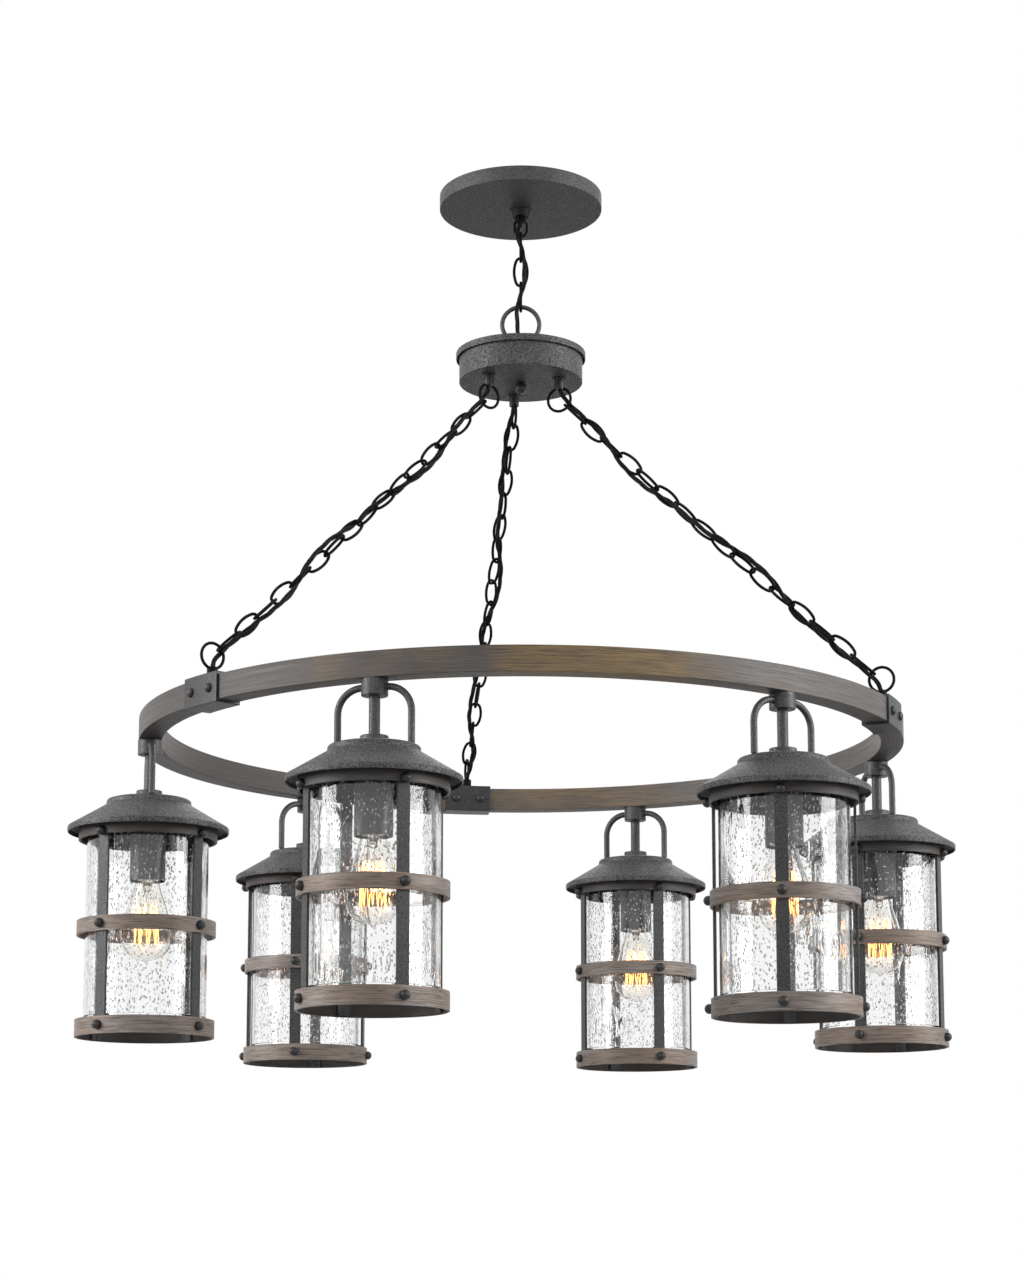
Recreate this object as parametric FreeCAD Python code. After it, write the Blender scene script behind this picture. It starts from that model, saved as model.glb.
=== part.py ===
import FreeCAD, Part
import math
import os

# Six-light ring chandelier, hung on a short chain from a round canopy.
# Millimetres. The origin is the middle of the mounting strap's top face, on the ceiling.
# +Z points up, +Y points away from the viewer, and the whole light hangs below zero.

# Clearances
thread_clearance = 0.05
seat_gap = 0.1
link_gap = 0.25
sleeve_clearance = 0.2
overrun = 1.0

# Counts and angles, in degrees about +Z from +X
lantern_count = 6
bracket_count = 3
straps_per_lantern = 4
first_lantern_angle = 9.4
strap_offset_angle = 45.0
lantern_turn_angles = (9.2, -4.0, -0.4, 2.0, 2.1, -2.4)

# Mounting strap, threaded nipple and their fasteners
strap_length = 112.0
strap_width = 24.0
strap_thickness = 2.0
strap_slot_inset = 11.55
strap_slot_width = 5.0
strap_slot_length = 14.0
nipple_diameter = 9.7
nipple_bore = 6.4
nipple_length = 21.0
nut_flats = 14.0
nut_thickness = 3.5
ground_screw_offset = 25.0
ground_screw_diameter = 4.0
ground_screw_head = 8.0
ground_screw_head_height = 2.2
ground_screw_length = 6.0

# Canopy and the ring nut that holds it up
canopy_diameter = 200.0
canopy_height = 18.0
canopy_wall = 1.2
canopy_edge_radius = 2.0
ring_nut_flange = 26.0
ring_nut_flange_height = 2.2
ring_nut_diameter = 22.5
ring_nut_height = 9.0

# Loop under the canopy
loop_thread_diameter = 19.2
loop_thread_top = 11.0
loop_neck_diameter = 12.0
loop_neck_drop = 33.5
loop_wire = 3.5
loop_width = 18.4
loop_drop = 53.2
loop_thread_clearance = 0.1
canopy_hole_clearance = 0.4

# Chain links
chain_wire = 2.9
link_length = 38.0
link_width = 19.2
link_end_radius = 6.0
top_link_count = 3
spreader_sag = 3.5

# Supply cord and the cords on the spreader chains
cord_diameter = 3.8
cord_offset = 4.1
cord_bulge = 0.9
cord_crossing_reach = 12.0
cord_crossing_links = 3
cord_bow = 2.6
cord_hole_clearance = 0.35

# Hub
hub_loop_diameter = 51.0
hub_loop_wire = 5.5
hub_neck_diameter = 12.0
hub_neck_length = 11.8
hub_cover_diameter = 158.6
hub_cover_height = 8.0
hub_diameter = 150.8
hub_height = 36.9
hub_wall = 1.6
hub_edge_radius = 1.2
hub_rod_diameter = 9.7
hub_rod_reach = 7.0
finial_diameter = 14.0
hub_cord_hole_x = -1.5
hub_cord_hole_y = -9.6

# Eyes at both ends of a spreader chain
eye_circle_radius = 50.0
eye_diameter = 32.0
eye_wire = 3.1
eye_neck_diameter = 12.0
hub_eye_neck_length = 14.3
bracket_eye_neck_length = 11.0
eye_flange_diameter = 16.0
eye_flange_height = 2.0
eye_spigot_diameter = 8.0
eye_spigot_length = 7.0
eye_sink = 3.5

# Ring of three hollow segments
ring_drop = 430.3
ring_outer_radius = 454.5
ring_width = 27.0
ring_height = 28.4
ring_wall = 1.6
ring_joint_gap = 0.6

# Brackets that join the ring segments
bracket_length = 62.0
bracket_wall = 2.8
bolt_spacing = 34.0
bolt_head_diameter = 10.6
bolt_head_height = 4.2
bolt_shank_diameter = 5.0
bolt_shank_length = 6.0

# Lantern hanger
collar_diameter = 28.7
collar_height = 18.0
stem_diameter = 12.0
stem_thread_diameter = 9.7
stem_bore = 6.0
stem_thread_length = 37.0
hanger_spigot_length = 8.0
bail_rod = 7.5
bail_width = 83.0
bail_bend_radius = 27.0
bail_drop = 8.5
washer_diameter = 30.0
washer_height = 7.0

# Lantern roof
roof_top_drop = 67.5
roof_cap_diameter = 98.7
roof_cap_rise = 3.0
roof_cap_edge_radius = 3.0
roof_cap_height = 11.0
roof_overhang = 13.25
roof_rim_drop = 104.6
roof_lip_height = 6.4
roof_wall = 1.2

# Lantern cage
band_diameter = 160.5
band_thickness = 3.0
upper_band_height = 22.0
middle_band_drop = 214.8
middle_band_height = 17.4
lower_band_drop = 329.2
lower_band_height = 20.4
strap_bar_width = 14.0
strap_bar_thickness = 3.0
strap_bar_top_inset = 3.0
strap_bar_end_inset = 1.5
stud_diameter = 10.7
stud_base_height = 3.0
stud_dome_height = 4.0
upper_stud_share = 0.84

# Lantern glass and the tabs that carry it
glass_clearance = 1.2
glass_wall = 3.0
glass_foot_gap = 2.8
tab_width = 10.0
tab_thickness = 2.0
tab_reach = 8.0
tab_height = 9.0

# Socket cup, lampholder and bulb
roof_nut_thickness = 4.0
cup_diameter = 41.0
cup_wall = 1.0
cup_bottom_drop = 167.3
holder_diameter = 35.0
holder_bore = 27.2
holder_neck_diameter = 16.0
holder_neck_height = 14.0
holder_shoulder_height = 16.0
holder_bottom_inset = 2.0
holder_floor_gap = 1.0
cap_diameter = 26.4
cap_length = 26.0
cap_contact_diameter = 12.0
bulb_diameter = 58.0
bulb_neck_diameter = 30.0
bulb_length = 97.5
bulb_wall = 0.9
bulb_tip_diameter = 5.0
filament_post_diameter = 7.0
filament_rod_diameter = 1.6
filament_hoop_diameter = 24.0
filament_hoop_wire = 1.2
belly_share = 0.69
shoulder_share = 0.36
shoulder_width_share = 0.78
lower_share = 0.87
lower_width_share = 0.70
nose_share = 0.95
nose_width_share = 0.34
post_share = 0.36
upper_hoop_share = 0.30
lower_hoop_share = 0.76

UP = FreeCAD.Vector(0, 0, 1)
DOWN = FreeCAD.Vector(0, 0, -1)
ORIGIN = FreeCAD.Vector(0, 0, 0)

# Levels worked out from the sizes, top to bottom
link_centre_length = link_length - chain_wire
link_pitch = link_centre_length - chain_wire - link_gap
loop_wire_z = -loop_drop + loop_wire / 2
first_link_top_z = loop_wire_z + (loop_wire + chain_wire) / 2 + link_gap
last_link_end_z = first_link_top_z - link_centre_length - (top_link_count - 1) * link_pitch
hub_loop_wire_z = last_link_end_z + (chain_wire + hub_loop_wire) / 2 + link_gap
hub_loop_radius = (hub_loop_diameter - hub_loop_wire) / 2
hub_loop_z = hub_loop_wire_z - hub_loop_radius
hub_top_z = hub_loop_z - hub_loop_diameter / 2 - hub_neck_length
hub_bottom_z = hub_top_z - hub_height
eye_radius = (eye_diameter - eye_wire) / 2
hub_eye_z = hub_bottom_z - hub_eye_neck_length + eye_sink - eye_diameter / 2
ring_top_z = hub_bottom_z - ring_drop
ring_bottom_z = ring_top_z - ring_height
ring_radius = ring_outer_radius - ring_width / 2
bracket_top_z = ring_top_z + sleeve_clearance + bracket_wall
bracket_eye_z = bracket_top_z + bracket_eye_neck_length - eye_sink + eye_diameter / 2
roof_flat_radius = roof_cap_diameter / 2 - roof_cap_edge_radius
nut_corner = nut_flats / math.sqrt(3)
roof_nut_drop = roof_top_drop + roof_wall + roof_cap_rise * nut_corner / roof_flat_radius + seat_gap
cup_top_drop = roof_nut_drop + roof_nut_thickness + seat_gap
bulb_top_z = -cup_bottom_drop + holder_bottom_inset
roof_rim_diameter = band_diameter + 2 * roof_overhang


def vector(x, y, z):
    """A point or direction from three numbers."""
    return FreeCAD.Vector(x, y, z)


def cylinder(diameter, low, high, x=0.0, y=0.0):
    """An upright cylinder between two levels."""
    return Part.makeCylinder(diameter / 2, high - low, vector(x, y, low))


def tube(outer, inner, low, high):
    """An upright tube between two levels."""
    return cylinder(outer, low, high).cut(cylinder(inner, low - overrun, high + overrun))


def turned(profile):
    """A solid of revolution about Z from (radius, level) points joined by straight lines."""
    points = [vector(r, 0, z) for r, z in profile]
    outline = Part.makePolygon(points + points[:1])
    return Part.Face(outline).revolve(ORIGIN, UP, 360)


def turned_edges(edges):
    """A solid of revolution about Z from joined edges in the XZ plane."""
    return Part.Face(Part.Wire(edges)).revolve(ORIGIN, UP, 360)


def line(start, end):
    """A straight edge."""
    return Part.makeLine(start, end)


def arc(start, middle, end):
    """A circular edge through three points."""
    return Part.Arc(start, middle, end).toShape()


def hexagon_nut(bore, thickness, top):
    """A hexagon nut whose upper face is at a level."""
    corners = []
    for step in range(7):
        angle = math.radians(step * 360 / 6)
        corners.append(vector(nut_corner * math.cos(angle), nut_corner * math.sin(angle), top - thickness))
    body = Part.Face(Part.makePolygon(corners)).extrude(vector(0, 0, thickness))
    return body.cut(cylinder(bore, top - thickness - overrun, top + overrun))


def placed(shape, origin, x_axis, z_axis):
    """A copy of a shape with its own X and Z axes turned to two directions at a point."""
    y_axis = z_axis.cross(x_axis)
    matrix = FreeCAD.Matrix(
        x_axis.x, y_axis.x, z_axis.x, origin.x,
        x_axis.y, y_axis.y, z_axis.y, origin.y,
        x_axis.z, y_axis.z, z_axis.z, origin.z,
        0, 0, 0, 1,
    )
    copy = shape.copy()
    copy.Placement = FreeCAD.Placement(matrix).multiply(shape.Placement)
    return copy


def turned_to(shape, angle, radius=0.0, level=0.0):
    """A copy turned about Z and moved out along its own X axis."""
    radians = math.radians(angle)
    outward = vector(math.cos(radians), math.sin(radians), 0)
    return placed(shape, outward * radius + UP * level, outward, UP)


def rounded_route(points):
    """Straight runs joined by tangent arcs, each arc as large as its two runs allow."""
    edges = []
    radii = []
    start = points[0]
    for before, corner, after in zip(points, points[1:], points[2:]):
        run_in = (corner - before).normalize()
        run_out = (after - corner).normalize()
        half_turn = run_in.getAngle(run_out) / 2
        reach = 0.45 * min((corner - before).Length, (after - corner).Length)
        radius = reach / math.tan(half_turn)
        inward = (run_out - run_in).normalize()
        middle = corner + inward * (radius / math.cos(half_turn) - radius)
        bend_start = corner - run_in * reach
        bend_end = corner + run_out * reach
        edges.append(line(start, bend_start))
        edges.append(arc(bend_start, middle, bend_end))
        radii.append(radius)
        start = bend_end
    edges.append(line(start, points[-1]))
    return Part.Wire(edges), radii


def rod_along(wire, diameter):
    """A round rod swept along a wire."""
    first = wire.OrderedEdges[0]
    start = first.valueAt(first.FirstParameter)
    direction = first.tangentAt(first.FirstParameter)
    section = Part.Wire([Part.makeCircle(diameter / 2, start, direction)])
    return wire.makePipeShell([section], True, False)


def lantern_angle(index):
    """The place of a lantern on the ring, in degrees."""
    return first_lantern_angle + index * 360 / lantern_count


def bracket_angle(index):
    """The place of a bracket, a quarter turn on from the first lantern."""
    return first_lantern_angle + 90 + index * 360 / bracket_count


def on_each_lantern(pieces):
    """Copies of one lantern's pieces at every lantern, each with its own small turn."""
    copies = []
    for index in range(lantern_count):
        angle = lantern_angle(index)
        radians = math.radians(angle)
        centre = vector(ring_radius * math.cos(radians), ring_radius * math.sin(radians), ring_bottom_z)
        heading = math.radians(angle + lantern_turn_angles[index % len(lantern_turn_angles)])
        outward = vector(math.cos(heading), math.sin(heading), 0)
        copies += [placed(piece, centre, outward, UP) for piece in pieces]
    return copies


# Mounting hardware on the ceiling

def mounting_strap():
    """Flat bar with a centre hole, a slot each side and a hole for the ground screw."""
    bar = Part.makeBox(
        strap_length, strap_width, strap_thickness,
        vector(-strap_length / 2, -strap_width / 2, -strap_thickness),
    )
    bar = bar.cut(cylinder(nipple_diameter + 2 * thread_clearance, -strap_thickness - overrun, overrun))
    straight = strap_slot_length - strap_slot_width
    for side in (-1, 1):
        middle = side * (strap_length / 2 - strap_slot_inset)
        slot = Part.makeBox(
            straight, strap_slot_width, strap_thickness + 2 * overrun,
            vector(middle - straight / 2, -strap_slot_width / 2, -strap_thickness - overrun),
        )
        for end in (-1, 1):
            slot = slot.fuse(
                cylinder(strap_slot_width, -strap_thickness - overrun, overrun, middle + end * straight / 2)
            )
        bar = bar.cut(slot)
    screw_hole = ground_screw_diameter + 2 * thread_clearance
    return bar.cut(cylinder(screw_hole, -strap_thickness - overrun, overrun, ground_screw_offset))


def ground_screw():
    """Pan-head screw that takes the ground wire."""
    shank_top = 0.0
    head_top = -strap_thickness
    shank_base = head_top - ground_screw_head_height / 2
    shank = cylinder(ground_screw_diameter, shank_base, shank_top, ground_screw_offset)
    head_base = head_top - ground_screw_head_height
    head = cylinder(ground_screw_head, head_base, head_top, ground_screw_offset)
    slot = Part.makeBox(
        ground_screw_head, ground_screw_head_height / 3, ground_screw_head_height / 2,
        vector(
            ground_screw_offset - ground_screw_head / 2,
            -ground_screw_head_height / 6,
            head_top - ground_screw_head_height,
        ),
    )
    return shank.fuse(head).cut(slot)


def mounting_nipple():
    """Threaded tube through the strap, with the wires inside it."""
    return tube(nipple_diameter, nipple_bore, -nipple_length, 0.0)


def strap_nut():
    """Locknut under the strap."""
    return hexagon_nut(nipple_diameter + 2 * thread_clearance, nut_thickness, -strap_thickness)


def canopy_loop():
    """Threaded post on the nipple, with the wire loop that carries the chain."""
    post = turned([
        (cord_diameter / 2 + 2 * cord_hole_clearance, -loop_neck_drop),
        (loop_neck_diameter / 2, -loop_neck_drop),
        (loop_neck_diameter / 2, -canopy_height - ring_nut_height),
        (loop_thread_diameter / 2, -canopy_height - ring_nut_height),
        (loop_thread_diameter / 2, -loop_thread_top),
        (nipple_diameter / 2 + thread_clearance, -loop_thread_top),
        (nipple_diameter / 2 + thread_clearance, -nipple_length - seat_gap),
        (cord_diameter / 2 + 2 * cord_hole_clearance, -nipple_length - seat_gap),
    ])
    leg = loop_width / 2 - loop_wire / 2
    root = loop_neck_diameter / 2 - loop_wire / 3
    root_z = -loop_neck_drop + loop_wire
    knee_z = -loop_neck_drop - loop_wire / 2
    route = [
        vector(-root, 0, root_z),
        vector(-leg, 0, knee_z),
        vector(-leg, 0, loop_wire_z),
        vector(leg, 0, loop_wire_z),
        vector(leg, 0, knee_z),
        vector(root, 0, root_z),
    ]
    bend_z = loop_wire_z + leg
    edges = [
        line(route[0], route[1]),
        line(route[1], vector(-leg, 0, bend_z)),
        arc(vector(-leg, 0, bend_z), vector(0, 0, loop_wire_z), vector(leg, 0, bend_z)),
        line(vector(leg, 0, bend_z), route[4]),
        line(route[4], route[5]),
    ]
    section_at = Part.Wire(edges[1:4])
    bow = rod_along(section_at, loop_wire)
    shape = post.fuse(bow)
    for top, knee in ((route[0], route[1]), (route[5], route[4])):
        axis = knee - top
        shape = shape.fuse(Part.makeCylinder(loop_wire / 2, axis.Length, top, axis))
        shape = shape.fuse(Part.makeSphere(loop_wire / 2, knee))
    bore = cord_diameter + 4 * cord_hole_clearance
    return shape.cut(cylinder(bore, root_z - overrun - loop_wire, -nipple_length))


# Canopy body

def canopy():
    """Shallow round pan, open towards the ceiling."""
    radius = canopy_diameter / 2
    corner = canopy_edge_radius
    bend = corner * (1 - math.sqrt(0.5))
    outer = turned_edges([
        line(vector(0, 0, -canopy_height), vector(radius - corner, 0, -canopy_height)),
        arc(
            vector(radius - corner, 0, -canopy_height),
            vector(radius - bend, 0, -canopy_height + bend),
            vector(radius, 0, -canopy_height + corner),
        ),
        line(vector(radius, 0, -canopy_height + corner), vector(radius, 0, 0)),
        line(vector(radius, 0, 0), ORIGIN),
        line(ORIGIN, vector(0, 0, -canopy_height)),
    ])
    hollow = cylinder(canopy_diameter - 2 * canopy_wall, -canopy_height + canopy_wall, overrun)
    hole = cylinder(loop_thread_diameter + 2 * canopy_hole_clearance, -canopy_height - overrun, 0.0)
    return outer.cut(hollow).cut(hole)


def canopy_ring_nut():
    """Flanged ring nut on the loop's thread, under the canopy."""
    bore = loop_thread_diameter / 2 + loop_thread_clearance
    return turned([
        (bore, -canopy_height),
        (ring_nut_flange / 2, -canopy_height),
        (ring_nut_flange / 2, -canopy_height - ring_nut_flange_height),
        (ring_nut_diameter / 2, -canopy_height - ring_nut_flange_height),
        (ring_nut_diameter / 2, -canopy_height - ring_nut_height),
        (bore, -canopy_height - ring_nut_height),
    ])


# Chain links

def oval_link(centre_length):
    """One oval link of round wire, lengthways on Z and flat in the XZ plane, round its middle."""
    half_length = centre_length / 2
    half_width = (link_width - chain_wire) / 2
    end_centre = half_length - link_end_radius
    corner_square = end_centre ** 2 + half_width ** 2 - link_end_radius ** 2
    side_radius = corner_square / (2 * (half_width - link_end_radius))
    side_offset = side_radius - half_width
    end_angle = math.degrees(math.atan2(side_offset, end_centre))
    axis = vector(0, 1, 0)
    end_edge = Part.makeCircle(chain_wire / 2, vector(0, 0, half_length), vector(1, 0, 0))
    end_circle = Part.Face(Part.Wire([end_edge]))
    end_start = end_circle.copy()
    end_start.rotate(vector(0, 0, end_centre), axis, -end_angle)
    end_bow = end_start.revolve(vector(0, 0, end_centre), axis, 2 * end_angle)
    side_circle = Part.Face(Part.Wire([Part.makeCircle(chain_wire / 2, vector(half_width, 0, 0), UP)]))
    side_start = side_circle.copy()
    side_angle = 90 - end_angle
    side_start.rotate(vector(-side_offset, 0, 0), axis, -side_angle)
    side = side_start.revolve(vector(-side_offset, 0, 0), axis, 2 * side_angle)
    other_bow = placed(end_bow, ORIGIN, vector(-1, 0, 0), DOWN)
    other_side = placed(side, ORIGIN, vector(-1, 0, 0), DOWN)
    return end_bow.fuse(side).fuse(other_bow).fuse(other_side)


def top_link(index):
    """One of the three links between canopy and hub; they lie crosswise in turn."""
    centre_z = first_link_top_z - link_centre_length / 2 - index * link_pitch
    width_axis = vector(0, 1, 0) if index % 2 == 0 else vector(1, 0, 0)
    return placed(oval_link(link_centre_length), vector(0, 0, centre_z), width_axis, UP)


def supply_cord_route():
    """Points of the cord from the canopy through the top chain into the hub."""
    first_middle = first_link_top_z - link_centre_length / 2
    middles = [first_middle - index * link_pitch for index in range(top_link_count)]
    side = cord_offset
    front = -cord_offset - cord_bulge / 3
    return [
        vector(0, 0, -nipple_length - 3 * seat_gap),
        vector(0, 0, -loop_neck_drop - cord_bulge),
        vector(-side, front - cord_bulge / 3, first_link_top_z + chain_wire),
        vector(-side, front, middles[0] + cord_crossing_reach),
        vector(side, front, middles[0] - cord_crossing_reach),
        vector(side + cord_bulge / 2, front - cord_bulge / 2, middles[1]),
        vector(side, front, middles[2] + cord_crossing_reach),
        vector(-side, front - cord_bulge / 2, middles[2] - cord_crossing_reach + 2 * cord_bulge),
        vector(-side - cord_bulge, front - 2 * cord_bulge, hub_loop_z + hub_loop_radius / 3),
        vector(-side + cord_bulge, hub_cord_hole_y + cord_bulge, hub_loop_z - hub_loop_radius * 2 / 3),
        vector(hub_cord_hole_x, hub_cord_hole_y, hub_top_z + hub_neck_length / 2),
        vector(hub_cord_hole_x, hub_cord_hole_y, hub_top_z - hub_cover_height),
    ]


def supply_cords():
    """The cord in three lengths that meet end to end in the middles of two links."""
    wire, radii = rounded_route(supply_cord_route())
    print("supply cord radii", [round(radius, 1) for radius in radii])
    cord = rod_along(wire, cord_diameter)
    print("supply cord length", round(wire.Length, 1), "volume ratio",
          round(cord.Volume / (math.pi * (cord_diameter / 2) ** 2 * wire.Length), 4))
    first_cut = first_link_top_z - link_centre_length / 2
    second_cut = first_cut - link_pitch + cord_crossing_reach
    reach = 2 * hub_diameter
    levels = (0.0, first_cut, second_cut, -reach)
    lengths = []
    for high, low in zip(levels, levels[1:]):
        slab = Part.makeBox(reach, reach, high - low, vector(-reach / 2, -reach / 2, low))
        lengths.append(cord.common(slab))
    return lengths


# Hub

def hub_loop():
    """Round hanging loop with a short neck, tapped for the hub's centre rod."""
    ring = Part.makeTorus(hub_loop_radius, hub_loop_wire / 2, vector(0, 0, hub_loop_z), vector(0, 1, 0))
    neck = cylinder(hub_neck_diameter, hub_top_z, hub_loop_z - hub_loop_radius)
    bore = cylinder(hub_rod_diameter + 2 * thread_clearance, hub_top_z - overrun, hub_top_z + hub_rod_reach)
    return ring.fuse(neck).cut(bore)


def hub_cover():
    """Lid with a turned-down lip that overhangs the drum."""
    radius = hub_cover_diameter / 2
    lid = turned([
        (0, hub_top_z),
        (radius - hub_edge_radius, hub_top_z),
        (radius, hub_top_z - hub_edge_radius),
        (radius, hub_top_z - hub_cover_height),
        (radius - hub_wall, hub_top_z - hub_cover_height),
        (radius - hub_wall, hub_top_z - hub_wall),
        (0, hub_top_z - hub_wall),
    ])
    rod_hole = hub_rod_diameter + 2 * thread_clearance
    lid = lid.cut(cylinder(rod_hole, hub_top_z - hub_height, hub_top_z + overrun))
    cord_hole = cylinder(
        cord_diameter + 2 * cord_hole_clearance, hub_top_z - hub_height, hub_top_z + overrun,
        hub_cord_hole_x, hub_cord_hole_y,
    )
    return lid.cut(cord_hole)


def hub_body():
    """Drum with a floor, drilled for the centre rod and the three eyes."""
    radius = hub_diameter / 2
    top = hub_top_z - hub_wall
    drum = turned([
        (0, hub_bottom_z),
        (radius - hub_edge_radius, hub_bottom_z),
        (radius, hub_bottom_z + hub_edge_radius),
        (radius, top),
        (radius - hub_wall, top),
        (radius - hub_wall, hub_bottom_z + hub_wall),
        (0, hub_bottom_z + hub_wall),
    ])
    drum = drum.cut(cylinder(hub_rod_diameter + 2 * thread_clearance, hub_bottom_z - overrun, top))
    for index in range(bracket_count):
        angle = math.radians(bracket_angle(index))
        drum = drum.cut(cylinder(
            eye_spigot_diameter + 2 * thread_clearance, hub_bottom_z - overrun, top,
            eye_circle_radius * math.cos(angle), eye_circle_radius * math.sin(angle),
        ))
    return drum


def hub_rod():
    """Threaded rod from the loop through lid and drum into the finial."""
    rod_top = hub_top_z + hub_rod_reach - seat_gap
    return cylinder(hub_rod_diameter, hub_bottom_z - finial_diameter / 2, rod_top)


def hub_finial():
    """Ball nut under the drum."""
    middle = hub_bottom_z - finial_diameter / 2 + seat_gap * 3
    ball = Part.makeSphere(finial_diameter / 2, vector(0, 0, middle))
    ball = ball.cut(cylinder(2 * finial_diameter, hub_bottom_z, hub_bottom_z + finial_diameter))
    rod_end = hub_bottom_z - finial_diameter / 2 - seat_gap
    return ball.cut(cylinder(hub_rod_diameter + 2 * thread_clearance, rod_end, hub_bottom_z + overrun))


def wired_eye(neck_length, flange, spigot):
    """Eye above its neck in the XZ plane, round the origin's neck foot, bored for a cord."""
    centre_z = neck_length - eye_sink + eye_diameter / 2
    eye = Part.makeTorus(eye_radius, eye_wire / 2, vector(0, 0, centre_z), vector(0, 1, 0))
    eye = eye.fuse(cylinder(eye_neck_diameter, 0, neck_length))
    if flange:
        eye = eye.fuse(cylinder(eye_flange_diameter, 0, flange))
    if spigot:
        eye = eye.fuse(cylinder(eye_spigot_diameter, -spigot, 0))
    bore = cord_diameter + 2 * cord_hole_clearance
    return eye.cut(cylinder(bore, -spigot - overrun, neck_length + eye_wire))


def hub_eyes():
    """Three eyes under the drum, each in the upright plane of its chain."""
    shapes = []
    for index in range(bracket_count):
        angle = math.radians(bracket_angle(index))
        outward = vector(math.cos(angle), math.sin(angle), 0)
        eye = wired_eye(hub_eye_neck_length, eye_flange_height, eye_spigot_length)
        shapes.append(placed(eye, outward * eye_circle_radius + UP * hub_bottom_z, outward, DOWN))
    return shapes


def hub_eye_nuts():
    """Locknuts on the eyes' spigots, inside the drum."""
    nut = hexagon_nut(eye_spigot_diameter + 2 * thread_clearance, nut_thickness, nut_thickness)
    level = hub_bottom_z + hub_wall
    angles = [bracket_angle(index) for index in range(bracket_count)]
    return [turned_to(nut, angle, eye_circle_radius, level) for angle in angles]


# Spreader chains with their cords

def chain_frame(index):
    """Ends, outward direction and sideways direction of one spreader chain."""
    angle = math.radians(bracket_angle(index))
    outward = vector(math.cos(angle), math.sin(angle), 0)
    sideways = vector(-math.sin(angle), math.cos(angle), 0)
    upper_eye = outward * eye_circle_radius + UP * hub_eye_z
    lower_eye = outward * ring_radius + UP * bracket_eye_z
    return upper_eye, lower_eye, outward, sideways


def tilted(direction, sideways, angle):
    """A direction turned about the sideways axis."""
    return FreeCAD.Rotation(sideways, math.degrees(angle)).multVec(direction)


def chain_layout(index):
    """Pitch points of a spreader chain, and the directions in which it leaves its two eyes."""
    upper_eye, lower_eye, outward, sideways = chain_frame(index)
    span = lower_eye - upper_eye
    slope = math.atan(4 * spreader_sag / span.Length)
    chord = span.normalize()
    start_direction = tilted(chord, sideways, slope)
    end_direction = tilted(chord, sideways, -slope)
    seat = eye_radius - (eye_wire + link_gap) / 2
    start = upper_eye + start_direction * seat
    end = lower_eye - end_direction * seat
    length = (end - start).Length
    count = max(2, round(length / link_pitch))
    droop = tilted(chord, sideways, math.pi / 2)
    points = []
    for step in range(count + 1):
        share = step / count
        points.append(start + (end - start) * share + droop * (4 * spreader_sag * share * (1 - share)))
    return points, start_direction, end_direction, sideways


def link_axes(points, step, sideways):
    """Middle, direction, width axis and face axis of one link of a spreader chain."""
    count = len(points) - 1
    drift = 0.0 if count % 2 else -90 / (count - 1)
    middle = (points[step] + points[step + 1]) * 0.5
    direction = (points[step + 1] - points[step]).normalize()
    turn = FreeCAD.Rotation(direction, step * drift)
    first_axis = turn.multVec(sideways)
    second_axis = direction.cross(first_axis)
    return middle, direction, first_axis, second_axis


def spreader_chain(index):
    """All links of one chain, crosswise in turn, from the hub's eye to the bracket's."""
    points, start_direction, end_direction, sideways = chain_layout(index)
    pitch = (points[1] - points[0]).Length
    link = oval_link(pitch + chain_wire + link_gap)
    links = []
    for step in range(len(points) - 1):
        middle, direction, first_axis, second_axis = link_axes(points, step, sideways)
        width_axis = first_axis if step % 2 == 0 else second_axis
        links.append(placed(link, middle, width_axis, direction))
    return links


def chain_cord_crossings(count):
    """Links that the cord goes through, and on which side of both width axes it ends."""
    crossings = list(range(2, count - 1, cord_crossing_links))
    while True:
        sides = [1, 1]
        for step in crossings:
            sides[(step + 1) % 2] *= -1
        if sides == [1, -1]:
            return crossings
        crossings.pop()


def chain_cord_route(index):
    """Points of the cord: out of the hub's eye, to and fro through the chain, into the bracket."""
    points, start_direction, end_direction, sideways = chain_layout(index)
    upper_eye, lower_eye, outward, side_again = chain_frame(index)
    count = len(points) - 1
    crossings = chain_cord_crossings(count)
    mouth = eye_radius - eye_sink - chain_wire
    face = start_direction.cross(sideways)
    route = [upper_eye + UP * (eye_radius + hub_eye_neck_length / 2), upper_eye + UP * mouth]
    route.append(upper_eye + start_direction * cord_crossing_reach + (sideways + face) * cord_offset)
    middle, direction, first_axis, second_axis = link_axes(points, 1, sideways)
    outset = (first_axis + second_axis) * (cord_offset + cord_bulge)
    route.append(middle - direction * cord_crossing_reach + outset)
    sides = [1, 1]
    for step in range(2, count - 1):
        middle, direction, first_axis, second_axis = link_axes(points, step, sideways)
        if step in crossings:
            beside = (first_axis * sides[0] + second_axis * sides[1]) * cord_offset
            route.append(middle - direction * cord_crossing_reach + beside)
            sides[(step + 1) % 2] *= -1
            beside = (first_axis * sides[0] + second_axis * sides[1]) * cord_offset
            route.append(middle + direction * cord_crossing_reach + beside)
        else:
            beside = (first_axis * sides[0] + second_axis * sides[1]) * (cord_offset + cord_bow)
            route.append(middle + beside)
    middle, direction, first_axis, second_axis = link_axes(points, count - 1, sideways)
    last = (first_axis * sides[0] + second_axis * sides[1]) * cord_offset
    route.append(lower_eye - end_direction * (cord_crossing_reach - chain_wire) + last)
    route.append(lower_eye - UP * mouth)
    route.append(lower_eye - UP * (eye_radius + bracket_eye_neck_length / 2))
    return route


def chain_cord(index):
    """The cord woven through one spreader chain."""
    wire, radii = rounded_route(chain_cord_route(index))
    cord = rod_along(wire, cord_diameter)
    print("chain cord", index + 1, "length", round(wire.Length, 1), "least radius", round(min(radii), 1),
          "volume ratio", round(cord.Volume / (math.pi * (cord_diameter / 2) ** 2 * wire.Length), 4))
    return cord


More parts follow.
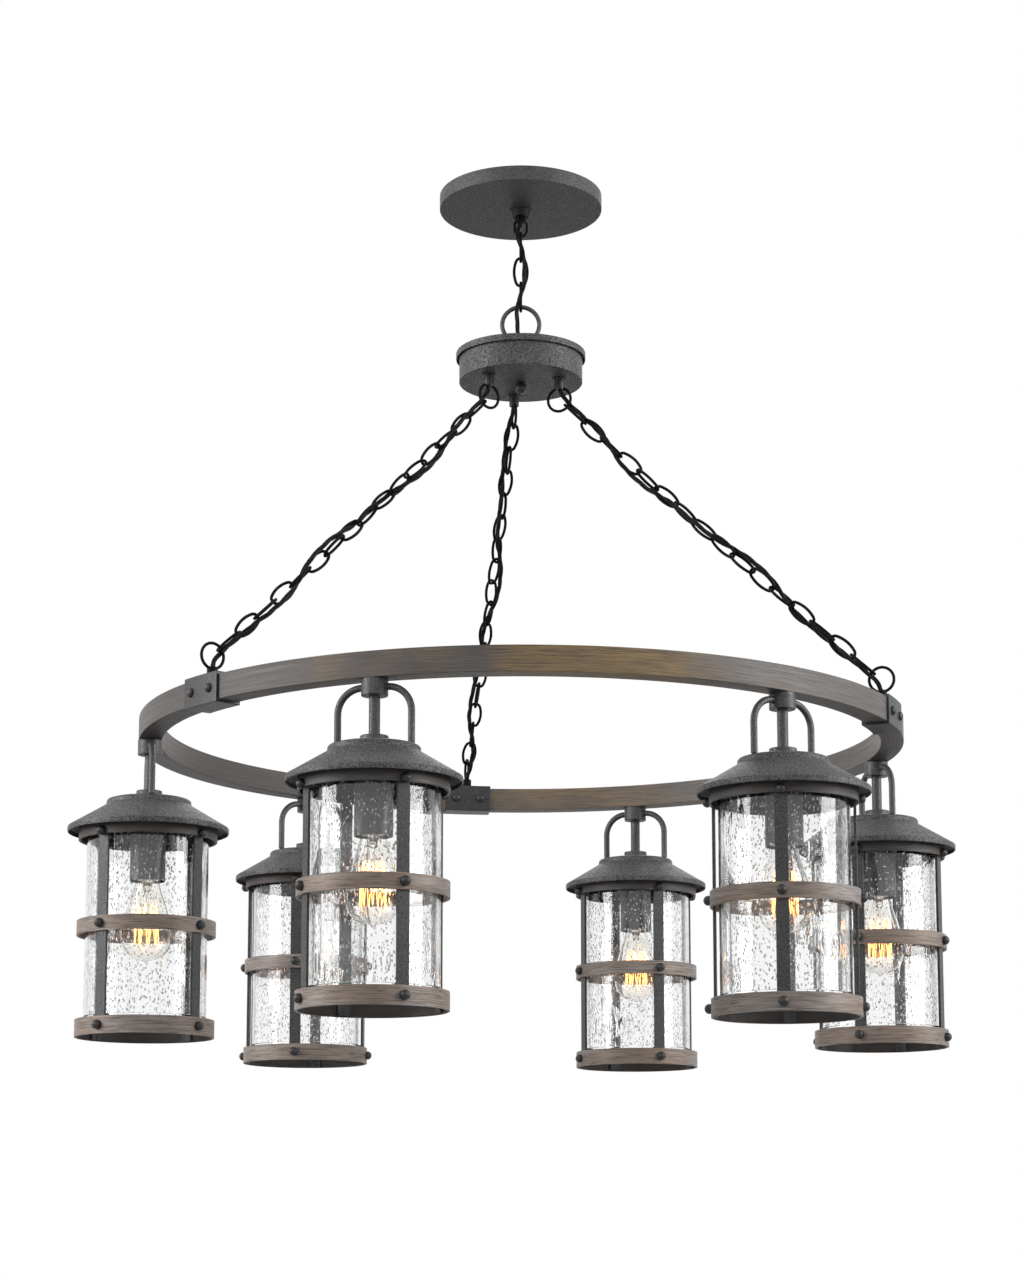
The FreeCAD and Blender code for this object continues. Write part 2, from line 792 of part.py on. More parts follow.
# Ring

def box_profile(inset, angle):
    """Square-cornered outline across the ring at an angle, drawn in by an inset."""
    radians = math.radians(angle)
    outward = vector(math.cos(radians), math.sin(radians), 0)
    inner = ring_outer_radius - ring_width + inset
    outer = ring_outer_radius - inset
    corners = [
        outward * inner + UP * (ring_bottom_z + inset),
        outward * outer + UP * (ring_bottom_z + inset),
        outward * outer + UP * (ring_top_z - inset),
        outward * inner + UP * (ring_top_z - inset),
    ]
    return Part.Face(Part.makePolygon(corners + corners[:1]))


def box_sweep(inset, angle, sweep):
    """A stretch of the ring's outline turned about Z."""
    return box_profile(inset, angle).revolve(ORIGIN, UP, sweep)


def bolt_places():
    """Angles off a bracket's middle at which its bolts stand."""
    half = math.degrees(bolt_spacing / 2 / ring_radius)
    return (-half, half)


def bolt_holes(index, diameter):
    """Cutters for the four bolts of one bracket, right across the ring."""
    cutters = []
    for offset in bolt_places():
        cutter = Part.makeCylinder(
            diameter / 2, ring_width + 2 * (bracket_wall + sleeve_clearance + overrun),
            vector(-ring_width / 2 - bracket_wall - sleeve_clearance - overrun, 0, 0),
            vector(1, 0, 0),
        )
        angle = bracket_angle(index) + offset
        cutters.append(turned_to(cutter, angle, ring_radius, ring_top_z - ring_height / 2))
    return cutters


def ring_segment(index):
    """A hollow third of the ring, with holes for its bolts, cords and two lanterns."""
    gap = math.degrees(ring_joint_gap / 2 / ring_radius)
    start = bracket_angle(index) + gap
    sweep = 360 / bracket_count - 2 * gap
    hollow_start = start - gap
    hollow = box_sweep(ring_wall, hollow_start, sweep + 2 * gap)
    segment = box_sweep(0.0, start, sweep).cut(hollow)
    for neighbour in (index, index + 1):
        for cutter in bolt_holes(neighbour, bolt_shank_diameter + 2 * thread_clearance):
            segment = segment.cut(cutter)
        cord_hole = cylinder(
            cord_diameter + 4 * cord_hole_clearance, ring_top_z - 2 * ring_wall, ring_top_z + overrun
        )
        segment = segment.cut(turned_to(cord_hole, bracket_angle(neighbour), ring_radius))
    for lantern in range(lantern_count):
        spigot_hole = cylinder(stem_thread_diameter + 2 * thread_clearance, -overrun, ring_wall + overrun)
        segment = segment.cut(turned_to(spigot_hole, lantern_angle(lantern), ring_radius, ring_bottom_z))
    return segment


def ring_bracket(index):
    """Sleeve round a joint of the ring."""
    length = math.degrees(bracket_length / ring_radius)
    start = bracket_angle(index) - length / 2
    margin = math.degrees(overrun / ring_radius)
    sleeve = box_sweep(-sleeve_clearance - bracket_wall, start, length)
    sleeve = sleeve.cut(box_sweep(-sleeve_clearance, start - margin, length + 2 * margin))
    for cutter in bolt_holes(index, bolt_shank_diameter + 2 * thread_clearance):
        sleeve = sleeve.cut(cutter)
    bore = cord_diameter + 4 * cord_hole_clearance
    cord_hole = cylinder(bore, ring_top_z - overrun, bracket_top_z + overrun)
    return sleeve.cut(turned_to(cord_hole, bracket_angle(index), ring_radius))


def bracket_eye(index):
    """Upright eye on a bracket's top, bored so that the cord runs into the ring."""
    eye = wired_eye(bracket_eye_neck_length, 0.0, 0.0)
    return turned_to(eye, bracket_angle(index), ring_radius, bracket_top_z)


def domed_head(diameter, base_height, dome_height):
    """A round head along +X from the origin, with a straight base and a dome."""
    radius = diameter / 2
    dome_radius = (radius ** 2 + dome_height ** 2) / (2 * dome_height)
    half_angle = math.asin(radius / dome_radius) / 2
    centre = base_height + dome_height - dome_radius
    middle = vector(dome_radius * math.sin(half_angle), 0, centre + dome_radius * math.cos(half_angle))
    head = turned_edges([
        line(ORIGIN, vector(radius, 0, 0)),
        line(vector(radius, 0, 0), vector(radius, 0, base_height)),
        arc(vector(radius, 0, base_height), middle, vector(0, 0, base_height + dome_height)),
        line(vector(0, 0, base_height + dome_height), ORIGIN),
    ])
    return placed(head, ORIGIN, vector(0, 0, -1), vector(1, 0, 0))


def bracket_bolts():
    """Domed bolts in both side walls of each bracket."""
    base = bolt_head_height / 3
    head = domed_head(bolt_head_diameter, base, bolt_head_height - base)
    shank = Part.makeCylinder(
        bolt_shank_diameter / 2, bolt_shank_length + seat_gap,
        vector(-bolt_shank_length, 0, 0), vector(1, 0, 0),
    )
    bolt = head.fuse(shank)
    face = ring_width / 2 + sleeve_clearance + bracket_wall
    middle_z = ring_top_z - ring_height / 2
    bolts = []
    for index in range(bracket_count):
        for offset in bolt_places():
            angle = bracket_angle(index) + offset
            bolts.append(turned_to(bolt, angle, ring_radius + face + seat_gap, middle_z))
            bolts.append(turned_to(bolt, angle + 180, -(ring_radius - face - seat_gap), middle_z))
    return bolts


# Lantern pieces, round the lantern's own axis with zero at the ring's underside

def hanger_collar():
    """Round boss under the ring, with its threaded spigot up through the ring's floor."""
    boss = cylinder(collar_diameter, -collar_height, 0.0)
    spigot = cylinder(stem_thread_diameter, 0.0, hanger_spigot_length)
    bore = cylinder(stem_bore, -collar_height - overrun, hanger_spigot_length + overrun)
    seat = cylinder(stem_diameter + 2 * thread_clearance, -collar_height - overrun, -collar_height / 2)
    return boss.fuse(spigot).cut(bore).cut(seat)


def hanger_nut():
    """Locknut on the spigot, inside the ring."""
    nut_top = ring_wall + nut_thickness
    return hexagon_nut(stem_thread_diameter + 2 * thread_clearance, nut_thickness, nut_top)


def hanger_stem():
    """Tube from the boss down to the roof, stepped to a thread that carries roof and socket."""
    shoulder = -roof_top_drop + washer_height
    top = -collar_height / 2 - seat_gap
    return turned([
        (stem_bore / 2, top),
        (stem_diameter / 2, top),
        (stem_diameter / 2, shoulder),
        (stem_thread_diameter / 2, shoulder),
        (stem_thread_diameter / 2, shoulder - stem_thread_length),
        (stem_bore / 2, shoulder - stem_thread_length),
    ])


def roof_height_at(radius):
    """Level of the roof cap's gently rising top at a radius."""
    return -roof_top_drop - roof_cap_rise * radius / roof_flat_radius


def bail_half():
    """One bent rod from the boss's side down onto the roof, in the YZ plane."""
    leg = bail_width / 2
    start = collar_diameter / 2 + seat_gap
    bend_start = leg - bail_bend_radius
    foot = roof_height_at(leg - bail_rod / 2) + seat_gap
    diagonal = bail_bend_radius * math.sqrt(0.5)
    centre_z = -bail_drop - bail_bend_radius
    wire = Part.Wire([
        line(vector(0, min(start, bend_start - seat_gap), -bail_drop), vector(0, bend_start, -bail_drop)),
        arc(
            vector(0, bend_start, -bail_drop),
            vector(0, bend_start + diagonal, centre_z + diagonal),
            vector(0, leg, centre_z),
        ),
        line(vector(0, leg, centre_z), vector(0, leg, foot)),
    ])
    return rod_along(wire, bail_rod)


def hanger_bail():
    """Both rods, the second one across the boss from the first."""
    rod = bail_half().cut(cylinder(collar_diameter + 2 * seat_gap, -collar_height - bail_rod, bail_rod))
    return [rod, turned_to(rod, 180)]


def roof_washer():
    """Thick washer between stem and roof."""
    return tube(
        washer_diameter, stem_thread_diameter + 2 * thread_clearance,
        -roof_top_drop, -roof_top_drop + washer_height,
    )


def roof_form(inset):
    """The roof's outer form, drawn in by an inset."""
    top = -roof_top_drop - inset
    cap = roof_cap_diameter / 2 - inset
    corner = roof_cap_edge_radius
    shoulder = top - roof_cap_rise
    bend = corner * (1 - math.sqrt(0.5))
    cap_foot = -roof_top_drop - roof_cap_height - inset
    rim = roof_rim_diameter / 2 - inset
    rim_z = -roof_rim_drop - inset
    lip_z = -roof_rim_drop - roof_lip_height - (overrun if inset else 0.0)
    return turned_edges([
        line(vector(0, 0, top), vector(cap - corner, 0, shoulder)),
        arc(
            vector(cap - corner, 0, shoulder),
            vector(cap - bend, 0, shoulder - bend),
            vector(cap, 0, shoulder - corner),
        ),
        line(vector(cap, 0, shoulder - corner), vector(cap, 0, cap_foot)),
        line(vector(cap, 0, cap_foot), vector(rim, 0, rim_z)),
        line(vector(rim, 0, rim_z), vector(rim, 0, lip_z)),
        line(vector(rim, 0, lip_z), vector(0, 0, lip_z)),
        line(vector(0, 0, lip_z), vector(0, 0, top)),
    ])


def lantern_roof():
    """Spun sheet roof with a stepped cap, a cone and a turned-down lip."""
    hole = cylinder(stem_thread_diameter + 2 * thread_clearance, -roof_rim_drop, -roof_top_drop + overrun)
    return roof_form(0.0).cut(roof_form(roof_wall)).cut(hole)


def roof_underside_at(radius):
    """Level of the underside of the roof's cone at a radius."""
    cap = roof_cap_diameter / 2 - roof_wall
    rim = roof_rim_diameter / 2 - roof_wall
    foot = roof_top_drop + roof_cap_height
    return -foot - roof_wall - (roof_rim_drop - foot) * (radius - cap) / (rim - cap)


def roof_nut():
    """Locknut that clamps the roof from below."""
    return hexagon_nut(stem_thread_diameter + 2 * thread_clearance, roof_nut_thickness, -roof_nut_drop)


def upper_band_drop():
    """How far below the ring the upper band starts, just under the roof's cone."""
    return seat_gap - roof_underside_at(band_diameter / 2)


def cage_band(drop, height):
    """A flat hoop of the cage."""
    return tube(band_diameter, band_diameter - 2 * band_thickness, -drop - height, -drop)


def strap_face():
    """Distance from the axis to a strap's outer face, where its corners meet the bands."""
    inner = band_diameter / 2 - band_thickness
    return math.sqrt(inner ** 2 - (strap_bar_width / 2) ** 2) - seat_gap


def strap_angles():
    """Headings of the straps on their lantern."""
    return [strap_offset_angle + index * 360 / straps_per_lantern for index in range(straps_per_lantern)]


def cage_straps():
    """Flat upright bars inside the bands."""
    top = -upper_band_drop() - strap_bar_top_inset
    bottom = -lower_band_drop - lower_band_height + strap_bar_end_inset
    bar = Part.makeBox(
        strap_bar_thickness, strap_bar_width, top - bottom,
        vector(strap_face() - strap_bar_thickness, -strap_bar_width / 2, bottom),
    )
    return [turned_to(bar, angle) for angle in strap_angles()]


def cage_studs():
    """Domed studs on the bands, over the straps."""
    stud = domed_head(stud_diameter, stud_base_height, stud_dome_height)
    levels = (
        -upper_band_drop() - upper_band_height * upper_stud_share,
        -middle_band_drop - middle_band_height / 2,
        -lower_band_drop - lower_band_height / 2,
    )
    face = band_diameter / 2 + seat_gap
    return [turned_to(stud, angle, face, level) for level in levels for angle in strap_angles()]


def glass_tabs():
    """Small angle pieces on the straps, under the glass."""
    top = -lower_band_drop + glass_foot_gap
    face = strap_face() - strap_bar_thickness - seat_gap
    shelf = Part.makeBox(
        tab_reach, tab_width, tab_thickness, vector(face - tab_reach, -tab_width / 2, top - tab_thickness)
    )
    leg = Part.makeBox(
        tab_thickness, tab_width, tab_height, vector(face - tab_thickness, -tab_width / 2, top - tab_height)
    )
    return [turned_to(shelf.fuse(leg), angle) for angle in strap_angles()]


def lantern_glass():
    """Clear glass cylinder, open at both ends, standing on the tabs inside their legs."""
    radius = strap_face() - strap_bar_thickness - seat_gap - tab_thickness - glass_clearance
    return tube(
        2 * radius, 2 * (radius - glass_wall),
        -lower_band_drop + glass_foot_gap + seat_gap, roof_underside_at(radius) - seat_gap,
    )


def socket_cup():
    """Deep cup round the lampholder, open below."""
    cup = cylinder(cup_diameter, -cup_bottom_drop, -cup_top_drop)
    hollow = cylinder(cup_diameter - 2 * cup_wall, -cup_bottom_drop - overrun, -cup_top_drop - cup_wall)
    hole = cylinder(stem_thread_diameter + 2 * thread_clearance, -cup_bottom_drop, -cup_top_drop + overrun)
    return cup.cut(hollow).cut(hole)


def lampholder():
    """Moulded screw lampholder, threaded onto the stem and open below."""
    top = -cup_top_drop - cup_wall - seat_gap
    shoulder = top - holder_neck_height
    bore_top = shoulder - holder_shoulder_height
    bottom = -cup_bottom_drop + holder_bottom_inset
    contact_top = bulb_top_z + cap_length + holder_floor_gap
    inner_top = max(contact_top, bottom + cap_length)
    stem_hole = stem_thread_diameter / 2 + thread_clearance
    stem_end = -roof_top_drop + washer_height - stem_thread_length - seat_gap
    return turned([
        (0, stem_end),
        (stem_hole, stem_end),
        (stem_hole, top),
        (holder_neck_diameter / 2, top),
        (holder_neck_diameter / 2, shoulder),
        (holder_diameter / 2, bore_top),
        (holder_diameter / 2, bottom),
        (holder_bore / 2, bottom),
        (holder_bore / 2, inner_top),
        (0, inner_top),
    ])


def bulb_envelope():
    """Long pointed glass envelope with a thin wall, closed at the cap end."""
    def outline(inset):
        """Half outline of the envelope, drawn in by an inset."""
        belly = bulb_diameter / 2
        return [
            (0, bulb_top_z - inset),
            (bulb_neck_diameter / 2 - inset, bulb_top_z - inset),
            (belly * shoulder_width_share - inset, bulb_top_z - bulb_length * shoulder_share),
            (belly - inset, bulb_top_z - bulb_length * belly_share),
            (belly * lower_width_share - inset, bulb_top_z - bulb_length * lower_share + inset),
            (belly * nose_width_share - inset, bulb_top_z - bulb_length * nose_share + inset),
            (max(bulb_tip_diameter / 2 - inset, bulb_wall / 2), bulb_top_z - bulb_length + inset),
            (0, bulb_top_z - bulb_length + inset),
        ]
    return turned(outline(0.0)).cut(turned(outline(bulb_wall)))


def bulb_cap():
    """Screw cap with its contact."""
    return turned([
        (0, bulb_top_z + seat_gap),
        (cap_diameter / 2, bulb_top_z + seat_gap),
        (cap_diameter / 2, bulb_top_z + cap_length * belly_share),
        (cap_contact_diameter / 2, bulb_top_z + cap_length),
        (0, bulb_top_z + cap_length),
    ])


def bulb_filament():
    """Glass post, centre rod and two hoops that carry the filament, sealed in the envelope."""
    top = bulb_top_z - bulb_wall - seat_gap
    post_end = bulb_top_z - bulb_length * post_share
    rod_end = bulb_top_z - bulb_length * lower_hoop_share
    post = turned([
        (0, top),
        (filament_post_diameter / 2, top),
        (filament_rod_diameter / 2, post_end),
        (filament_rod_diameter / 2, rod_end),
        (0, rod_end),
    ])
    shape = post
    for share in (upper_hoop_share, lower_hoop_share):
        level = bulb_top_z - bulb_length * share
        hoop = cylinder(filament_hoop_diameter, level, level + filament_hoop_wire)
        inner = filament_hoop_diameter - 2 * filament_hoop_wire
        hoop = hoop.cut(cylinder(inner, level - overrun, level + 2 * overrun))
        spoke = Part.makeBox(
            filament_hoop_diameter - filament_hoop_wire, filament_hoop_wire, filament_hoop_wire,
            vector(-(filament_hoop_diameter - filament_hoop_wire) / 2, -filament_hoop_wire / 2, level),
        )
        shape = shape.fuse(hoop).fuse(spoke)
    return shape


def write(node, shapes):
    """Write one node as a STEP file."""
    solids = shapes if isinstance(shapes, list) else [shapes]
    shape = solids[0] if len(solids) == 1 else Part.makeCompound(solids)
    shape.exportStep(os.path.join("parts", node + ".step"))
    count = len(shape.Solids)
    state = "ok" if all(solid.isValid() for solid in shape.Solids) else "NOT VALID"
    print(node, count, "solids", state)


def main():
    """Build every node and write it."""
    os.makedirs("parts", exist_ok=True)
    write("mounting_strap", mounting_strap())
    write("strap_fasteners", [strap_nut(), ground_screw()])
    write("mounting_nipple", mounting_nipple())
    write("canopy_loop", canopy_loop())
    write("canopy", canopy())
    write("canopy_ring_nut", canopy_ring_nut())
    for index in range(top_link_count):
        write(f"chain_link_{index + 1}", top_link(index))
    for name, length in zip(("upper", "middle", "lower"), supply_cords()):
        write(f"supply_cord_{name}", length)
    write("hub_loop", hub_loop())
    write("hub_cover", hub_cover())
    write("hub_body", hub_body())
    write("hub_rod", hub_rod())
    write("hub_finial", hub_finial())
    write("hub_eyes", hub_eyes())
    write("hub_eye_nuts", hub_eye_nuts())
    for index in range(bracket_count):
        write(f"spreader_chain_{index + 1}", spreader_chain(index))
        write(f"chain_cord_{index + 1}", chain_cord(index))
        write(f"ring_segment_{index + 1}", ring_segment(index))
        write(f"ring_bracket_{index + 1}", ring_bracket(index))
    write("bracket_eyes", [bracket_eye(index) for index in range(bracket_count)])
    write("bracket_bolts", bracket_bolts())
    write("hanger_collars", on_each_lantern([hanger_collar()]))
    write("hanger_nuts", on_each_lantern([hanger_nut(), roof_nut()]))
    write("hanger_stems", on_each_lantern([hanger_stem()]))
    write("hanger_bails", on_each_lantern(hanger_bail()))
    write("roof_washers", on_each_lantern([roof_washer()]))
    write("lantern_roofs", on_each_lantern([lantern_roof()]))
    write("upper_bands", on_each_lantern([cage_band(upper_band_drop(), upper_band_height)]))
    write("middle_bands", on_each_lantern([cage_band(middle_band_drop, middle_band_height)]))
    write("lower_bands", on_each_lantern([cage_band(lower_band_drop, lower_band_height)]))
    write("cage_straps", on_each_lantern(cage_straps()))
    write("cage_studs", on_each_lantern(cage_studs()))
    write("glass_tabs", on_each_lantern(glass_tabs()))
    write("lantern_glasses", on_each_lantern([lantern_glass()]))
    write("socket_cups", on_each_lantern([socket_cup()]))
    write("lampholders", on_each_lantern([lampholder()]))
    bulbs = on_each_lantern([bulb_envelope(), bulb_cap(), bulb_filament()])
    for index in range(lantern_count):
        envelope, cap, filament = bulbs[3 * index: 3 * index + 3]
        write(f"bulb_glass_{index + 1}", envelope)
        write(f"bulb_cap_{index + 1}", [cap, filament])
    print("overall drop", round(-ring_bottom_z + lower_band_drop + lower_band_height, 1))


main()
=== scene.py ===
import logging
import math
from dataclasses import dataclass
from enum import Enum

import bmesh
import bpy
from mathutils import Matrix, Quaternion, Vector


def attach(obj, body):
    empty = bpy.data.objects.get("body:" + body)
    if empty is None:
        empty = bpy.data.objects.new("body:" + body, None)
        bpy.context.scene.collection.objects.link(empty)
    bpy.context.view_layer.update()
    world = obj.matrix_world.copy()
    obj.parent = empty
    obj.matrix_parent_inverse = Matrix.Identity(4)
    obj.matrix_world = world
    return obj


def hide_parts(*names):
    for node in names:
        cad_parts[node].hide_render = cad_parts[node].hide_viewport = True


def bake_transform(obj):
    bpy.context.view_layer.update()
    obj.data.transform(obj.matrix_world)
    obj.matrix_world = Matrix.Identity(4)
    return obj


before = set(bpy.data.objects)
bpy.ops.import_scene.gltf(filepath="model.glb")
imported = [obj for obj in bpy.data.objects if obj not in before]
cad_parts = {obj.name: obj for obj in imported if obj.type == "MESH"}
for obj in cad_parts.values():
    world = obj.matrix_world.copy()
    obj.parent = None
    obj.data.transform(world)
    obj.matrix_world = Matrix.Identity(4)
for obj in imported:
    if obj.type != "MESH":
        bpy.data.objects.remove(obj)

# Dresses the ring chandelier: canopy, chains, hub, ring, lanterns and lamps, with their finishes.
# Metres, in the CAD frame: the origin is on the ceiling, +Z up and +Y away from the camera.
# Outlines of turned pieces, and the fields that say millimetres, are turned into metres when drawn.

LOG = logging.getLogger("chandelier")
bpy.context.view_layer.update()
MM = 0.001
WELD = 1e-6
JOINT_WELD = 2e-5
SOFTENED_ANGLE = math.radians(25.0)
EYE_BORE = 2.25
EYE_NECK = 6.0
ACROSS = Vector((1.0, 0.0, 0.0))
AWAY = Vector((0.0, 1.0, 0.0))
UP = Vector((0.0, 0.0, 1.0))
WHITE = (1.0, 1.0, 1.0, 1.0)

Span = tuple[float, float]
Triple = tuple[float, float, float]
Outline = list[Span]
Socket = bpy.types.NodeSocket
Value = Socket | float | tuple[float, ...]
Solid = bmesh.types.BMesh
Corner = bmesh.types.BMVert
Edge = bmesh.types.BMEdge


class Body(Enum):
    """The moving bodies that pieces ride on."""

    MOUNT = "ceiling_mount"
    COVER = "canopy_cover"
    TOP_LINK = "top_link"
    LOWER_LINKS = "lower_links"
    FIXTURE = "fixture"


class Slot(Enum):
    """Names of the material slots."""

    ZINC = "aged_metal"
    STREAKED = "streaked_metal"
    IRON = "dark_iron"
    CORD = "cord"
    GLASS = "clear_glass"
    BULB = "bulb_glass"
    CAP = "bulb_cap"
    HOLDER = "holder"


# Node trees


class Wiring:
    """A node tree, built a node at a time."""

    def __init__(self, tree: bpy.types.NodeTree) -> None:
        """Takes over a node tree and empties it."""
        self.tree = tree
        self.tree.nodes.clear()

    def feed(self, target: Socket, value: Value) -> None:
        """Gives an input its constant, or joins it to the output that drives it.

        Args:
            target: The input.
            value: A constant or an output.
        """
        if isinstance(value, Socket):
            self.tree.links.new(value, target)
        else:
            target.default_value = value

    def node(self, kind: str, **inputs: Value) -> bpy.types.Node:
        """Adds a node.

        Args:
            kind: The node's type.
            inputs: Constants or outputs for its inputs; underscores stand for spaces.

        Returns:
            The node.
        """
        made = self.tree.nodes.new(kind)
        for name, value in inputs.items():
            self.feed(made.inputs[name.replace("_", " ")], value)
        return made

    def math(self, operation: str, first: Value, second: Value = 0.0) -> Socket:
        """One sum on two values.

        Args:
            operation: The sum's name, as the math node has it.
            first: The first value.
            second: The second value.

        Returns:
            The result.
        """
        node = self.node("ShaderNodeMath")
        node.operation = operation
        self.feed(node.inputs[0], first)
        self.feed(node.inputs[1], second)
        return node.outputs[0]

    def add(self, first: Value, second: Value) -> Socket:
        """The sum of two values."""
        return self.math("ADD", first, second)

    def times(self, first: Value, second: Value) -> Socket:
        """The product of two values."""
        return self.math("MULTIPLY", first, second)

    def most(self, first: Value, second: Value) -> Socket:
        """The larger of two values."""
        return self.math("MAXIMUM", first, second)

    def ramp(self, value: Socket, low: float, high: float, start: float = 0.0, end: float = 1.0) -> Socket:
        """Maps a value from one range to another, clamped.

        Args:
            value: The value.
            low: Where the input range starts.
            high: Where the input range ends.
            start: The result at low.
            end: The result at high.

        Returns:
            The result.
        """
        made = self.node(
            "ShaderNodeMapRange", Value=value, From_Min=low, From_Max=high, To_Min=start, To_Max=end
        )
        return made.outputs[0]

    def blend(self, share: Socket, first: Triple | Socket, second: Triple | Socket) -> Socket:
        """Mixes two colours.

        Args:
            share: How much of the second colour there is.
            first: The first colour.
            second: The second colour.

        Returns:
            The mixed colour.
        """
        node = self.node("ShaderNodeMix")
        node.data_type = "RGBA"
        self.feed(node.inputs[0], share)
        for index, colour in ((6, first), (7, second)):
            self.feed(node.inputs[index], (*colour, 1.0) if isinstance(colour, tuple) else colour)
        return node.outputs[2]

    def rays(self) -> tuple[Socket, Socket]:
        """Picks out the camera's own rays, through glass too, and the mirrored ones.

        Returns:
            Two values, each one for its own kind of ray and zero for the others.
        """
        kinds = self.node("ShaderNodeLightPath").outputs
        return self.most(kinds["Is Camera Ray"], kinds["Is Transmission Ray"]), kinds["Is Glossy Ray"]


class Recipe(Wiring):
    """A material's node tree round one principled shader."""

    def __init__(self, name: str) -> None:
        """Starts a material.

        Args:
            name: The material's name.
        """
        self.material = bpy.data.materials.new(name)
        self.material.use_nodes = True
        super().__init__(self.material.node_tree)
        self.shader = self.node("ShaderNodeBsdfPrincipled")
        self.output = self.node("ShaderNodeOutputMaterial", Surface=self.shader.outputs[0])

    def set(self, **inputs: Value) -> None:
        """Feeds the principled shader; underscores stand for spaces."""
        for name, value in inputs.items():
            self.feed(self.shader.inputs[name.replace("_", " ")], value)

    def place(self) -> Socket:
        """The piece's own coordinates, in metres."""
        return self.node("ShaderNodeTexCoord").outputs["Object"]

    def stretched(self, scale: Triple, shift: Triple = (0.0, 0.0, 0.0)) -> Socket:
        """The piece's coordinates, scaled along each axis and then shifted."""
        return self.node("ShaderNodeMapping", Vector=self.place(), Scale=scale, Location=shift).outputs[0]

    def mark(self, name: str) -> Socket:
        """A mark on the piece's faces, zero where it has none.

        Args:
            name: The mark's name.

        Returns:
            The mark's value.
        """
        node = self.node("ShaderNodeAttribute")
        node.attribute_name = name
        return node.outputs["Fac"]

    def noise(self, vector: Socket, scale: float, detail: float, roughness: float) -> Socket:
        """A noise pattern.

        Args:
            vector: The coordinates it reads.
            scale: Its scale, in waves to a metre.
            detail: Its octaves.
            roughness: How strong the finer octaves are.

        Returns:
            The pattern's value.
        """
        made = self.node("ShaderNodeTexNoise", Vector=vector, Scale=scale, Detail=detail, Roughness=roughness)
        return made.outputs[0]

    def absorb(self, colour: Triple, density: float) -> None:
        """Tints the light inside the piece, by a density to a metre."""
        haze = self.node("ShaderNodeVolumeAbsorption", Color=(*colour, 1.0), Density=density)
        self.feed(self.output.inputs["Volume"], haze.outputs[0])

    def bump(self, height: Socket, depth: float) -> None:
        """Raises the surface by a height pattern, whose full step is so many metres deep."""
        self.set(Normal=self.node("ShaderNodeBump", Height=height, Distance=depth, Strength=1.0).outputs[0])


# Finishes


def shaded(colour: Triple, factor: float) -> Triple:
    """A colour made darker or lighter."""
    red, green, blue = colour
    return factor * red, factor * green, factor * blue


@dataclass(frozen=True)
class Finish:
    """A finish, known by its material's name."""

    name: str

    def make(self) -> bpy.types.Material:
        """Builds the material.

        Returns:
            The material.
        """
        recipe = Recipe(self.name)
        self.paint(recipe)
        return recipe.material

    def paint(self, recipe: Recipe) -> None:
        """Wires the material; each finish does it its own way."""
        raise NotImplementedError


@dataclass(frozen=True)
class MottledMetal(Finish):
    """Aged zinc paint: a fine sandy grain over faintly clouded greys."""

    dark: Triple
    light: Triple
    grain_depth: float
    grain: float = 500.0
    gloss: float = 0.55
    clouds: float = 26.0
    cloud_share: float = 0.22

    def paint(self, recipe: Recipe) -> None:
        """Wires the material.

        Args:
            recipe: The material under way.
        """
        place = recipe.place()
        clouds = recipe.ramp(recipe.noise(place, self.clouds, 3.0, 0.6), 0.34, 0.66)
        specks = recipe.ramp(recipe.noise(place, self.grain, 2.0, 0.8), 0.43, 0.57)
        share = recipe.add(
            recipe.times(clouds, self.cloud_share), recipe.times(specks, 1.0 - self.cloud_share)
        )
        recipe.set(
            Base_Color=recipe.blend(share, self.dark, self.light),
            Roughness=recipe.ramp(specks, 0.0, 1.0, self.gloss + 0.1, self.gloss - 0.08),
            Metallic=0.1, Specular_IOR_Level=0.4,
        )
        recipe.bump(recipe.noise(place, 1.3 * self.grain, 2.0, 0.6), self.grain_depth)


